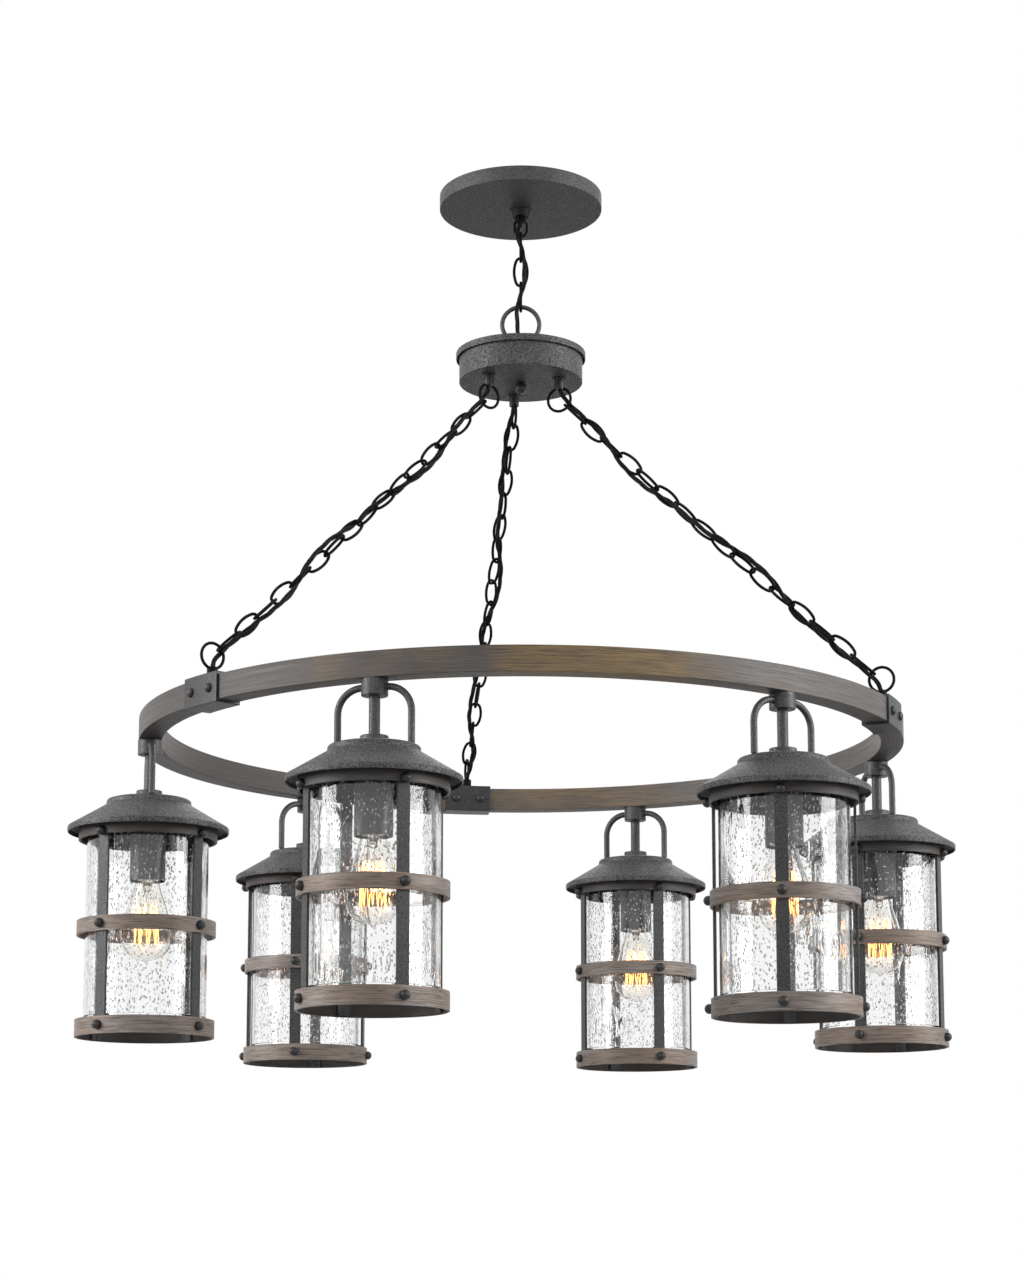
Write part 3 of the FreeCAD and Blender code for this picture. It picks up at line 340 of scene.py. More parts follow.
@dataclass(frozen=True)
class StreakedMetal(Finish):
    """Driftwood paint: fine streaks along the band, brown and grey by turns, with worn dark lines, and a
    painted shade on faces marked inside.
    """

    brown: Triple
    grey: Triple
    dark: Triple
    along: float = 14.0
    across: float = 620.0
    patch: float = 9.0
    round_ring: bool = False

    def paint(self, recipe: Recipe) -> None:
        """Wires the material. The ring is brown in its middle and greys towards both ends as a painted sheen,
        and its left end is a darker grey as a painted shade.

        Args:
            recipe: The material under way.
        """
        x, y, z = recipe.node("ShaderNodeSeparateXYZ", Vector=recipe.place()).outputs
        grey, painted_sheen = self.grey, 0.0
        if self.round_ring:
            reach = recipe.math("SQRT", recipe.add(recipe.times(x, x), recipe.times(y, y)))
            z = recipe.add(z, reach)
            # Painted shade: the grey darkens towards the ring's left end.
            grey = recipe.blend(recipe.ramp(x, -0.25, 0.05), shaded(self.grey, 0.62), self.grey)
            # Painted sheen: the paint turns greyer towards both ends of the ring, where its faces are seen at a
            # slant.
            painted_sheen = recipe.times(recipe.times(x, x), 2.0)
        drawn = recipe.node(
            "ShaderNodeCombineXYZ", X=recipe.times(x, self.along), Y=recipe.times(y, self.along),
            Z=recipe.times(z, self.across),
        ).outputs[0]
        streaks = recipe.noise(drawn, 1.0, 4.0, 0.6)
        fine = recipe.noise(drawn, 2.6, 3.0, 0.65)
        patches = recipe.noise(recipe.stretched((1.0, 1.0, 1.0), (0.08, 0.0, 0.0)), self.patch, 3.0, 0.5)
        coolness = recipe.add(recipe.add(patches, recipe.times(streaks, 0.3)), painted_sheen)
        base = recipe.blend(recipe.ramp(coolness, 0.60, 0.78), self.brown, grey)
        worn = recipe.blend(recipe.ramp(fine, 0.38, 0.53), self.dark, base)
        outside = recipe.blend(recipe.ramp(streaks, 0.54, 0.72, 0.0, 0.4), worn, shaded(self.grey, 1.4))
        recipe.set(
            # Painted shade: faces marked inside are painted near black.
            Base_Color=recipe.blend(recipe.mark("inside"), outside, shaded(self.dark, 0.4)),
            Roughness=recipe.ramp(streaks, 0.3, 0.7, 0.6, 0.42),
            Metallic=0.1, Specular_IOR_Level=0.4,
        )
        recipe.bump(recipe.add(fine, recipe.times(streaks, 0.5)), 0.0002)


@dataclass(frozen=True)
class Pattern:
    """A noise pattern: waves to a metre, octaves, their strength, and its stretch along each axis."""

    scale: float
    detail: float = 3.0
    roughness: float = 0.6
    stretch: Triple = (1.0, 1.0, 1.0)

    def draw(self, recipe: Recipe) -> Socket:
        """The pattern's value on a piece."""
        return recipe.noise(recipe.stretched(self.stretch), self.scale, self.detail, self.roughness)


@dataclass(frozen=True)
class GrainedFinish(Finish):
    """Two colours clouded into each other, with a grain that breaks the gloss and raises the skin."""

    first: Triple
    second: Triple
    clouds: Pattern
    cloud_range: Span
    grain: Pattern
    roughness: Span
    depth: float
    grain_range: Span = (0.3, 0.7)
    relief: Span = (0.0, 1.0)
    metal: float = 0.0
    sheen: float = 0.5

    def paint(self, recipe: Recipe) -> None:
        """Wires the material.

        Args:
            recipe: The material under way.
        """
        clouds = recipe.ramp(self.clouds.draw(recipe), *self.cloud_range)
        grain = self.grain.draw(recipe)
        recipe.set(
            Base_Color=recipe.blend(clouds, self.first, self.second),
            Roughness=recipe.ramp(grain, *self.grain_range, *self.roughness),
            Metallic=self.metal, Specular_IOR_Level=self.sheen,
        )
        recipe.bump(recipe.ramp(grain, *self.relief), self.depth)


@dataclass(frozen=True)
class SeededGlass(Finish):
    """Clear glass with upright seeds and a few wavering strings."""

    seeds: float = 252.0
    seed_edge: Span = (0.125, 0.23)
    string_width: float = 0.02
    depth: float = 0.0011

    def paint(self, recipe: Recipe) -> None:
        """Wires the material.

        Args:
            recipe: The material under way.
        """
        upright = recipe.stretched((1.0, 1.0, 0.5))
        cells = recipe.node("ShaderNodeTexVoronoi", Vector=upright, Scale=self.seeds, Randomness=1.0)
        seeds = recipe.ramp(cells.outputs["Distance"], *self.seed_edge, 1.0, 0.0)
        waver = recipe.noise(recipe.stretched((1.0, 1.0, 0.16)), 48.0, 2.0, 0.5)
        offset = recipe.math("ABSOLUTE", recipe.math("SUBTRACT", waver, 0.5))
        spread = recipe.math("GREATER_THAN", recipe.noise(recipe.place(), 21.0, 1.0, 0.5), 0.6)
        strings = recipe.times(recipe.ramp(offset, 0.0, self.string_width, 1.0, 0.0), spread)
        swell = recipe.noise(recipe.stretched((1.0, 1.0, 0.3)), 40.0, 1.0, 0.5)
        recipe.set(
            Base_Color=recipe.blend(seeds, (0.985, 0.99, 0.99), (0.62, 0.63, 0.64)),
            Roughness=recipe.ramp(seeds, 0.0, 1.0, 0.0, 0.1),
            Transmission_Weight=recipe.ramp(seeds, 0.0, 1.0, 1.0, 0.45), IOR=1.45,
        )
        recipe.absorb((0.60, 0.61, 0.62), 24.0)
        height = recipe.add(recipe.times(strings, 0.24), recipe.times(seeds, 0.6))
        recipe.bump(recipe.add(height, recipe.times(swell, 0.03)), self.depth)


@dataclass(frozen=True)
class AmberGlass(Finish):
    """Thin clear bulb glass with a pale amber tint."""

    tint: Triple = (0.74, 0.66, 0.56)
    density: float = 75.0

    def paint(self, recipe: Recipe) -> None:
        """Wires the material.

        Args:
            recipe: The material under way.
        """
        cloud = recipe.noise(recipe.place(), 40.0, 2.0, 0.5)
        recipe.set(
            Base_Color=recipe.blend(cloud, (1.0, 0.99, 0.97), (1.0, 0.995, 0.98)),
            Roughness=recipe.ramp(cloud, 0.3, 0.7, 0.0, 0.01), Transmission_Weight=1.0, IOR=1.42,
        )
        recipe.absorb(self.tint, self.density)


@dataclass(frozen=True)
class GlowingWire(Finish):
    """Glowing filament wire."""

    cool: Triple = (1.0, 0.27, 0.04)
    hot: Triple = (1.0, 0.52, 0.13)
    strength: float = 12.0

    def paint(self, recipe: Recipe) -> None:
        """Wires the material.

        Args:
            recipe: The material under way.
        """
        heat = recipe.ramp(recipe.noise(recipe.place(), 90.0, 2.0, 0.5), 0.3, 0.7)
        recipe.set(
            Emission_Color=recipe.blend(heat, self.cool, self.hot), Emission_Strength=self.strength,
            Base_Color=(0.3, 0.15, 0.05, 1.0), Roughness=0.5,
        )


ZINC = MottledMetal("aged_zinc", (0.028, 0.028, 0.029), (0.158, 0.158, 0.159), 0.0003)
CANOPY_ZINC = MottledMetal("canopy_zinc", (0.038, 0.038, 0.039), (0.126, 0.126, 0.127), 0.0002, 600.0)
CUP_ZINC = MottledMetal("cup_zinc", (0.050, 0.050, 0.050), (0.105, 0.104, 0.103), 0.00006, 700.0, 0.42)
ROD_ZINC = MottledMetal("rod_zinc", (0.042, 0.042, 0.043), (0.148, 0.148, 0.149), 0.00018, 700.0, 0.45)
STRAP_ZINC = MottledMetal("strap_zinc", (0.026, 0.026, 0.027), (0.098, 0.098, 0.099), 0.00018, 700.0, 0.45)
DRIFTWOOD = StreakedMetal(
    "driftwood_paint", (0.345, 0.264, 0.208), (0.392, 0.352, 0.332), (0.114, 0.095, 0.084)
)
# Greyer driftwood for the top hoops, darkened as a painted shade of the roof above them.
ROOF_SHADED_DRIFTWOOD = StreakedMetal(
    "roof_shaded_driftwood_paint", (0.092, 0.078, 0.070), (0.108, 0.103, 0.104), (0.046, 0.040, 0.037)
)
RING_DRIFTWOOD = StreakedMetal(
    "ring_driftwood_paint", (0.345, 0.236, 0.118), (0.158, 0.146, 0.142), (0.088, 0.071, 0.058),
    9.0, 680.0, 5.0, True,
)
IRON_GRAIN = Pattern(620.0)
IRON = GrainedFinish(
    "black_iron", (0.004, 0.004, 0.004), (0.014, 0.014, 0.014), IRON_GRAIN, (0.42, 0.66),
    IRON_GRAIN, (0.67, 0.47), 0.0002, metal=0.1, sheen=0.08,
)
FORGED = GrainedFinish(
    "forged_grey", (0.015, 0.015, 0.016), (0.052, 0.052, 0.053), IRON_GRAIN, (0.42, 0.66),
    IRON_GRAIN, (0.54, 0.34), 0.0002, metal=0.1,
)
STEEL = GrainedFinish(
    "plated_steel", (0.46, 0.45, 0.43), (0.62, 0.62, 0.61), Pattern(70.0), (0.35, 0.65),
    Pattern(1.0, stretch=(40.0, 900.0, 900.0)), (0.28, 0.46), 0.00003, metal=1.0,
)
CORD = GrainedFinish(
    "cord_skin", (0.006, 0.006, 0.006), (0.018, 0.017, 0.016), Pattern(90.0), (0.35, 0.65),
    Pattern(1500.0, 1.0, 0.5), (0.5, 0.66), 0.0001, sheen=0.15,
)
HOLDER = GrainedFinish(
    "moulded_holder", (0.018, 0.014, 0.012), (0.05, 0.042, 0.036), Pattern(160.0), (0.0, 1.0),
    Pattern(160.0), (0.26, 0.4), 0.00004,
)
TARNISH = Pattern(260.0, 4.0, 0.65)
BRASS = GrainedFinish(
    "cap_brass", (0.78, 0.5, 0.22), (0.5, 0.3, 0.13), TARNISH, (0.4, 0.7), TARNISH, (0.22, 0.42), 0.00003,
    grain_range=(0.4, 0.7), relief=(0.4, 0.7), metal=1.0,
)
SEEDED = SeededGlass("seeded_glass")
AMBER = AmberGlass("amber_glass")
FILAMENT = GlowingWire("filament")


# Making of meshes


@dataclass
class Run:
    """A straight stretch of rod."""

    offset: Vector

    def draw(self, bm: Solid, ring: list[Edge]) -> list[Corner]:
        """Draws the rod on from its last ring.

        Args:
            bm: The rod's mesh.
            ring: Edges of its last ring.

        Returns:
            Corners of the new last ring.
        """
        made = bmesh.ops.extrude_edge_only(bm, edges=ring)["geom"]
        moved = [item for item in made if isinstance(item, Corner)]
        bmesh.ops.translate(bm, verts=moved, vec=self.offset)
        return moved


@dataclass
class Bend:
    """A bent stretch of rod, turned round an axis through a centre."""

    centre: Vector
    axis: Vector
    angle: float
    steps: int

    def draw(self, bm: Solid, ring: list[Edge]) -> list[Corner]:
        """Draws the rod on from its last ring.

        Args:
            bm: The rod's mesh.
            ring: Edges of its last ring.

        Returns:
            Corners of the new last ring.
        """
        corners = list({corner for edge in ring for corner in edge.verts})
        made = bmesh.ops.spin(
            bm, geom=corners + ring, cent=self.centre, axis=self.axis, dvec=(0, 0, 0),
            angle=self.angle, steps=self.steps, use_merge=False, use_duplicate=False,
        )["geom_last"]
        return [item for item in made if isinstance(item, Corner)]


class Workshop:
    """Mesh making by bmesh operators, and the finishing of pieces."""

    def __init__(self) -> None:
        """Starts with no materials made."""
        self.made: dict[str, bpy.types.Material] = {}

    @staticmethod
    def soften(bm: Solid, width: float, segments: int = 2) -> None:
        """Rounds the sharp edges of a solid.

        Args:
            bm: The solid.
            width: How far the rounding reaches from the edge, in millimetres.
            segments: Facets across the rounding.
        """
        edges = [
            edge for edge in bm.edges
            if len(edge.link_faces) == 2 and edge.calc_face_angle(0.0) > SOFTENED_ANGLE
        ]
        bmesh.ops.bevel(
            bm, geom=edges, offset=width * MM, offset_type="OFFSET", segments=segments,
            profile=0.5, affect="EDGES", material=-1, clamp_overlap=True,
        )

    @staticmethod
    def turned(
        outline: Outline, steps: int, edge: float = 0.0, segments: int = 2, level: float = 0.0
    ) -> Solid:
        """Spins an outline round Z and rounds its sharp edges.

        Args:
            outline: Radii and levels, in millimetres; it closes on itself unless it starts on the axis.
            steps: Facets round the axis.
            edge: How far the rounding reaches, in millimetres; zero for none.
            segments: Facets across the rounding.
            level: Where the outline's own levels count from, in metres.

        Returns:
            The closed solid.
        """
        bm = bmesh.new()
        points = [bm.verts.new((radius * MM, 0.0, level + height * MM)) for radius, height in outline]
        pairs = list(zip(points, points[1:]))
        if outline[0][0] > 0.0:
            pairs.append((points[-1], points[0]))
        edges = [bm.edges.new(pair) for pair in pairs]
        bmesh.ops.spin(
            bm, geom=points + edges, cent=(0, 0, 0), axis=(0, 0, 1), dvec=(0, 0, 0),
            angle=math.tau, steps=steps, use_merge=True, use_duplicate=False,
        )
        bmesh.ops.remove_doubles(bm, verts=bm.verts, dist=WELD)
        bmesh.ops.recalc_face_normals(bm, faces=bm.faces)
        if edge:
            Workshop.soften(bm, edge, segments)
        return bm

    @staticmethod
    def rod(
        start: Vector, heading: Vector, radius: float, sides: int, path: list[Run | Bend],
        joined: bool = False,
    ) -> Solid:
        """Draws a round rod along runs and bends.

        Args:
            start: The middle of its first end.
            heading: The direction in which it sets out.
            radius: The rod's radius.
            sides: Facets round the rod.
            path: Its runs and bends in order.
            joined: Whether it ends where it started.

        Returns:
            The rod as a closed solid.
        """
        bm = bmesh.new()
        turn = UP.rotation_difference(heading).to_matrix().to_4x4()
        bmesh.ops.create_circle(
            bm, cap_ends=False, radius=radius, segments=sides, matrix=Matrix.Translation(start) @ turn
        )
        first = ring = list(bm.edges)
        for stretch in path:
            corners = set(stretch.draw(bm, ring))
            ring = [edge for edge in bm.edges if corners.issuperset(edge.verts)]
        if joined:
            bmesh.ops.remove_doubles(bm, verts=bm.verts, dist=JOINT_WELD)
        else:
            bmesh.ops.contextual_create(bm, geom=first)
            bmesh.ops.contextual_create(bm, geom=ring)
        bmesh.ops.recalc_face_normals(bm, faces=bm.faces)
        return bm

    @staticmethod
    def ring(centre: Vector, reach: float, wire: float, steps: int, sides: int) -> Solid:
        """A round ring of round wire that faces the camera.

        Args:
            centre: Its middle.
            reach: Radius of the wire's own middle line.
            wire: Thickness of the wire.
            steps: Facets round the ring.
            sides: Facets round the wire.

        Returns:
            The ring.
        """
        side = AWAY.orthogonal().normalized()
        bend = Bend(centre, AWAY, math.tau, steps)
        heading = AWAY.cross(side).normalized()
        return Workshop.rod(centre + side * reach, heading, wire / 2, sides, [bend], joined=True)

    @staticmethod
    def block(low: Triple, high: Triple, edge: float) -> Solid:
        """A box with rounded edges, in millimetres.

        Args:
            low: Its lowest corner.
            high: Its highest corner.
            edge: The rounding's reach.

        Returns:
            The box.
        """
        bm = bmesh.new()
        size = [end - start for start, end in zip(low, high)]
        middle = (Vector(low) + Vector(high)) / 2
        matrix = Matrix.Scale(MM, 4) @ Matrix.Translation(middle) @ Matrix.Diagonal((*size, 1.0))
        bmesh.ops.create_cube(bm, size=1.0, matrix=matrix)
        Workshop.soften(bm, edge)
        return bm

    @staticmethod
    def gather(parts: list[Solid]) -> Solid:
        """Puts several solids into one mesh and frees them.

        Args:
            parts: The solids.

        Returns:
            One mesh with all of them.
        """
        whole = bmesh.new()
        for part in parts:
            mesh = bpy.data.meshes.new("part")
            part.to_mesh(mesh)
            part.free()
            whole.from_mesh(mesh)
            bpy.data.meshes.remove(mesh)
        return whole

    @staticmethod
    def spread(bm: Solid, places: list[Matrix]) -> Solid:
        """Copies a solid to several places, and frees it.

        Args:
            bm: The solid at its own origin.
            places: Where the copies go.

        Returns:
            One mesh with all the copies.
        """
        copies = [bm.copy() for _ in places]
        bm.free()
        for copy, place in zip(copies, places):
            copy.transform(place)
        return Workshop.gather(copies)

    def finish(self, finish: Finish) -> bpy.types.Material:
        """The material of a finish, made once.

        Args:
            finish: The finish.

        Returns:
            Its material.
        """
        if finish.name not in self.made:
            self.made[finish.name] = finish.make()
        return self.made[finish.name]

    def stand(self, name: str, bm: Solid, finish: Finish) -> bpy.types.Object:
        """Turns a mesh into a smooth object in the scene, and frees it.

        Args:
            name: The object's name.
            bm: Its mesh.
            finish: Its finish.

        Returns:
            The object.
        """
        mesh = bpy.data.meshes.new(name)
        bm.to_mesh(mesh)
        bm.free()
        mesh.shade_smooth()
        mesh.materials.append(self.finish(finish))
        thing = bpy.data.objects.new(name, mesh)
        bpy.context.scene.collection.objects.link(thing)
        LOG.info("%s: %d faces", name, len(mesh.polygons))
        return thing

    def piece(
        self, name: str, bm: Solid, finish: Finish, slot: Slot, *nodes: str,
        places: list[Matrix] | None = None, body: str = Body.FIXTURE.value, sharp: float = 32.0,
    ) -> None:
        """Turns a mesh into a finished piece that rides on a body.

        Args:
            name: The piece's name.
            bm: Its mesh, which is freed.
            finish: Its finish.
            slot: The material slot; not used.
            nodes: The CAD nodes that it stands for.
            places: Where its copies go, if it isn't made in its place.
            body: The body that carries it.
            sharp: Edges that turn by more than this, in degrees, stay sharp.
        """
        thing = self.stand(name, self.spread(bm, places) if places else bm, finish)
        thing.data.set_sharp_from_angle(angle=math.radians(sharp))
        even = thing.modifiers.new("even_shading", "WEIGHTED_NORMAL")
        even.keep_sharp = True
        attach(thing, body)
        if nodes:
            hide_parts(*nodes)

    def dress(self, node: str, finish: Finish) -> None:
        """Gives a CAD node its finish.

        Args:
            node: The node's name.
            finish: The finish.
        """
        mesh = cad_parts[node].data
        mesh.materials.clear()
        mesh.materials.append(self.finish(finish))
        LOG.info("%s: dressed", node)


# Sizes that several sub-assemblies share


@dataclass(frozen=True)
class Layout:
    """Levels and places of the chandelier, as in its CAD."""

    link_end: float = 6.0 * MM
    link_wire: float = 2.9 * MM
    link_width: float = 19.2 * MM
    link_reach: float = 35.1 * MM
    coat: float = 0.7 * MM
    link_gap: float = 0.25 * MM
    loop_foot: float = -33.5 * MM
    loop_level: float = -51.45 * MM
    loop_wire: float = 3.5 * MM
    hub_wire: float = 5.5 * MM
    hub_ring: float = 22.75 * MM
    hub_neck: float = 11.8 * MM
    hub_height: float = 36.9 * MM
    eye_circle: float = 50.0 * MM
    eye_wire: float = 3.1 * MM
    eye_reach: float = 14.45 * MM
    hub_eye_neck: float = 14.3 * MM
    ring_eye_neck: float = 11.0 * MM
    eye_sink: float = 3.5 * MM
    ring_drop: float = 430.3 * MM
    ring_outer: float = 454.5 * MM
    ring_width: float = 27.0 * MM
    ring_height: float = 28.4 * MM
    sleeve_gap: float = 0.2 * MM
    sleeve_wall: float = 2.8 * MM
    sag: float = 3.5 * MM
    first_angle: float = 9.4
    turns: tuple[float, ...] = (9.2, -4.0, -0.4, 2.0, 2.1, -2.4)
    chains: int = 3
    cord_offset: float = 4.1 * MM
    cord_bulge: float = 0.9 * MM
    cord_reach: float = 12.0 * MM
    cord_bow: float = 2.6 * MM
    crossing_links: int = 3

    @property
    def pitch(self) -> float:
        """Distance from link to link in the short chain."""
        return self.link_reach - self.link_wire - self.link_gap

    @property
    def first_link(self) -> float:
        """Level of the first link's upper wire."""
        return self.loop_level + (self.loop_wire + self.link_wire) / 2 + self.link_gap

    @property
    def link_middles(self) -> list[float]:
        """Levels of the short chain's link middles."""
        return [self.first_link - self.link_reach / 2 - index * self.pitch for index in range(3)]

    @property
    def hub_loop(self) -> float:
        """Level of the wide loop's middle."""
        end = self.first_link - self.link_reach - 2 * self.pitch
        return end + (self.link_wire + self.hub_wire) / 2 + self.link_gap - self.hub_ring

    @property
    def hub_top(self) -> float:
        """Level of the drum's lid."""
        return self.hub_loop - self.hub_ring - self.hub_wire / 2 - self.hub_neck

    @property
    def hub_bottom(self) -> float:
        """Level of the drum's floor."""
        return self.hub_top - self.hub_height

    @property
    def ring_top(self) -> float:
        """Level of the ring's upper face."""
        return self.hub_bottom - self.ring_drop

    @property
    def ring_bottom(self) -> float:
        """Level of the ring's underside."""
        return self.ring_top - self.ring_height

    @property
    def ring_radius(self) -> float:
        """Radius of the ring's own middle line."""
        return self.ring_outer - self.ring_width / 2

    @property
    def bracket_top(self) -> float:
        """Level of a bracket's upper face."""
        return self.ring_top + self.sleeve_gap + self.sleeve_wall

    def bracket_angle(self, index: int) -> float:
        """A bracket's place on the ring, in radians."""
        return math.radians(self.first_angle + 90.0 + index * 120.0)

    def lantern_angle(self, index: int) -> float:
        """A lantern's place on the ring, in radians."""
        return math.radians(self.first_angle + index * 60.0)

    def lanterns(self) -> list[Matrix]:
        """Where each lantern's own axes stand, with zero at the ring's underside.

        Returns:
            One place for each lantern.
        """
        places = []
        for index, turn in enumerate(self.turns):
            angle = self.lantern_angle(index)
            outward = Vector((math.cos(angle), math.sin(angle), 0.0))
            centre = outward * self.ring_radius + UP * self.ring_bottom
            places.append(Matrix.Translation(centre) @ Matrix.Rotation(angle + math.radians(turn), 4, "Z"))
        return places

    def eye_places(self, level: float, circle: float, down: bool) -> list[Matrix]:
        """Where an eye's own axes stand at each chain.

        Args:
            level: The level of the neck's foot.
            circle: How far it stands from the axis.
            down: Whether the eye hangs.

        Returns:
            One place for each chain.
        """
        seat = Matrix.Translation((circle, 0.0, level))
        if down:
            seat = seat @ Matrix.Rotation(math.pi, 4, "X")
        return [Matrix.Rotation(self.bracket_angle(index), 4, "Z") @ seat for index in range(self.chains)]


LAYOUT = Layout()


def oval_link(reach: float) -> Solid:
    """One oval link of round wire, lengthways on Z in the XZ plane.

    Args:
        reach: Length between the wire's middles at both ends.

    Returns:
        The link round its own middle.
    """
    half_width = (LAYOUT.link_width - LAYOUT.link_wire) / 2
    end = (reach + LAYOUT.coat) / 2 - LAYOUT.link_end
    side_radius = (end ** 2 + half_width ** 2 - LAYOUT.link_end ** 2) / (2 * (half_width - LAYOUT.link_end))
    offset = ACROSS * (side_radius - half_width)
    bow = math.atan2(offset.x, end)
    side = math.pi / 2 - bow
    path = [
        Bend(-offset, -AWAY, side, 6),
        Bend(UP * end, -AWAY, 2 * bow, 10),
        Bend(offset, -AWAY, 2 * side, 12),
        Bend(-UP * end, -AWAY, 2 * bow, 10),
        Bend(-offset, -AWAY, side, 6),
    ]
    radius = (LAYOUT.link_wire + LAYOUT.coat) / 2
    return Workshop.rod(ACROSS * half_width, UP, radius, 12, path, joined=True)


def axes(origin: Vector, x_axis: Vector, z_axis: Vector) -> Matrix:
    """The place at an origin whose X and Z axes point two given ways."""
    turn = Matrix((x_axis, z_axis.cross(x_axis), z_axis)).transposed()
    return Matrix.Translation(origin) @ turn.to_4x4()


def domed_head(radius: float, base: float, dome: float) -> Solid:
    """A round head along +X from the origin, with a straight base and a dome.

    Args:
        radius: The head's radius, in millimetres.
        base: Height of its straight part.
        dome: Height of its dome.

    Returns:
        The head.
    """
    ball = (radius ** 2 + dome ** 2) / (2 * dome)
    half = math.asin(min(1.0, radius / ball))
    outline = [(0.0, -0.2), (radius, -0.2)]
    for step in range(8, 0, -1):
        angle = half * step / 8
        outline.append((ball * math.sin(angle), base + dome - ball + ball * math.cos(angle)))
    bm = Workshop.turned(outline + [(0.0, base + dome)], 28)
    bmesh.ops.rotate(bm, verts=bm.verts, cent=(0, 0, 0), matrix=Matrix.Rotation(math.pi / 2, 3, "Y"))
    return bm


@dataclass
class TwistedCord:
    """Three insulated wires twisted together along a route."""

    route: list[Vector]
    strand: float = 1.4 * MM
    offset: float = 1.55 * MM
    lay: float = 74.0 * MM
    strands: int = 3

    @staticmethod
    def drawn(kind: str, points: list[Vector], thickness: float = 0.0) -> bpy.types.Mesh:
        """Draws a curve through points and turns it into a mesh.

        Args:
            kind: The spline's type.
            points: The points that it follows.
            thickness: Its radius as a tube with closed ends; zero for a bare line.

        Returns:
            The mesh.
        """
        data = bpy.data.curves.new("wire", "CURVE")
        data.dimensions = "3D"
        data.resolution_u = 12
        data.bevel_depth = thickness
        data.bevel_resolution = 2
        data.use_fill_caps = thickness > 0.0
        spline = data.splines.new(kind)
        spline.points.add(len(points) - 1)
        for point, place in zip(spline.points, points):
            point.co = (*place, 1.0)
        spline.order_u = 3
        spline.use_endpoint_u = True
        holder = bpy.data.objects.new("wire", data)
        mesh = bpy.data.meshes.new_from_object(holder)
        bpy.data.objects.remove(holder)
        bpy.data.curves.remove(data)
        return mesh

    def line(self) -> list[Vector]:
        """The smooth line that the cord follows, read from its spline.

        Returns:
            The line's points, in order.
        """
        mesh = self.drawn("NURBS", self.route)
        points = [vertex.co.copy() for vertex in mesh.vertices]
        bpy.data.meshes.remove(mesh)
        return points

    def wind(self, line: list[Vector], phase: float) -> list[Vector]:
        """Points of one strand as it winds round the line.

        Args:
            line: The cord's line.
            phase: The strand's turn at the start, in radians.

        Returns:
            One point for each of the line's.
        """
        points = []
        side = (line[1] - line[0]).orthogonal().normalized()
        walked = 0.0
        for index, place in enumerate(line):
            before = line[max(index - 1, 0)]
            after = line[min(index + 1, len(line) - 1)]
            heading = (after - before).normalized()
            side = (side - heading * side.dot(heading)).normalized()
            walked += (place - before).length
            turn = Quaternion(heading, phase + math.tau * walked / self.lay)
            points.append(place + turn @ side * self.offset)
        return points

    def mesh(self) -> Solid:
        """Winds all the strands into one mesh.

        Returns:
            The strands, closed at their ends.
        """
        line = self.line()
        whole = bmesh.new()
        for index in range(self.strands):
            mesh = self.drawn("POLY", self.wind(line, math.tau * index / self.strands), self.strand)
            whole.from_mesh(mesh)
            bpy.data.meshes.remove(mesh)
        return whole


# Sub-assemblies


@dataclass
class SubAssembly:
    """A group of pieces that is built in a workshop."""

    workshop: Workshop

    def build(self) -> None:
        """Builds the group's pieces."""
        raise NotImplementedError


@dataclass
class CeilingMount(SubAssembly):
    """Slotted bar, nipple and the threaded loop under the canopy, in millimetres."""

    loop_width: float = 18.4
    knee_drop: float = 1.5
    root: float = 4.8
    root_rise: float = 3.0
    post: float = 9.6
    post_span: Span = (-27.0, -11.0)
    shank: float = 6.0
    nipple_bore: float = 3.2
    nipple_end: float = -21.0
    cord_bore: float = 2.3

    def build(self) -> None:
        """Builds the loop, and dresses the hardware that the canopy hides."""
        foot = LAYOUT.loop_foot / MM
        low, high = self.post_span
        post = Workshop.turned([
            (self.nipple_bore, high), (self.post, high), (self.post, low), (self.shank, low),
            (self.shank, foot), (self.cord_bore, foot), (self.cord_bore, self.nipple_end),
            (self.nipple_bore, self.nipple_end),
        ], 48, 0.4)
        leg = (self.loop_width * MM - LAYOUT.loop_wire) / 2
        knee = LAYOUT.loop_foot - self.knee_drop * MM
        root = self.root * MM
        start = Vector((-root, 0.0, LAYOUT.loop_foot + self.root_rise * MM))
        corner = Vector((-leg, 0.0, knee))
        bow = LAYOUT.loop_level + leg
        path = [
            Run(corner - start),
            Run(UP * (bow - knee)),
            Bend(UP * bow, -AWAY, math.pi, 20),
            Run(UP * (knee - bow)),
            Run(Vector((root - leg, 0.0, start.z - knee))),
        ]
        loop = Workshop.rod(start, (corner - start).normalized(), LAYOUT.loop_wire / 2, 14, path)
        self.workshop.piece(
            "canopy_hanging_loop", Workshop.gather([post, loop]), IRON, Slot.IRON, "canopy_loop",
            body=Body.MOUNT.value,
        )
        for node in ("mounting_strap", "strap_fasteners", "mounting_nipple"):
            self.workshop.dress(node, STEEL)


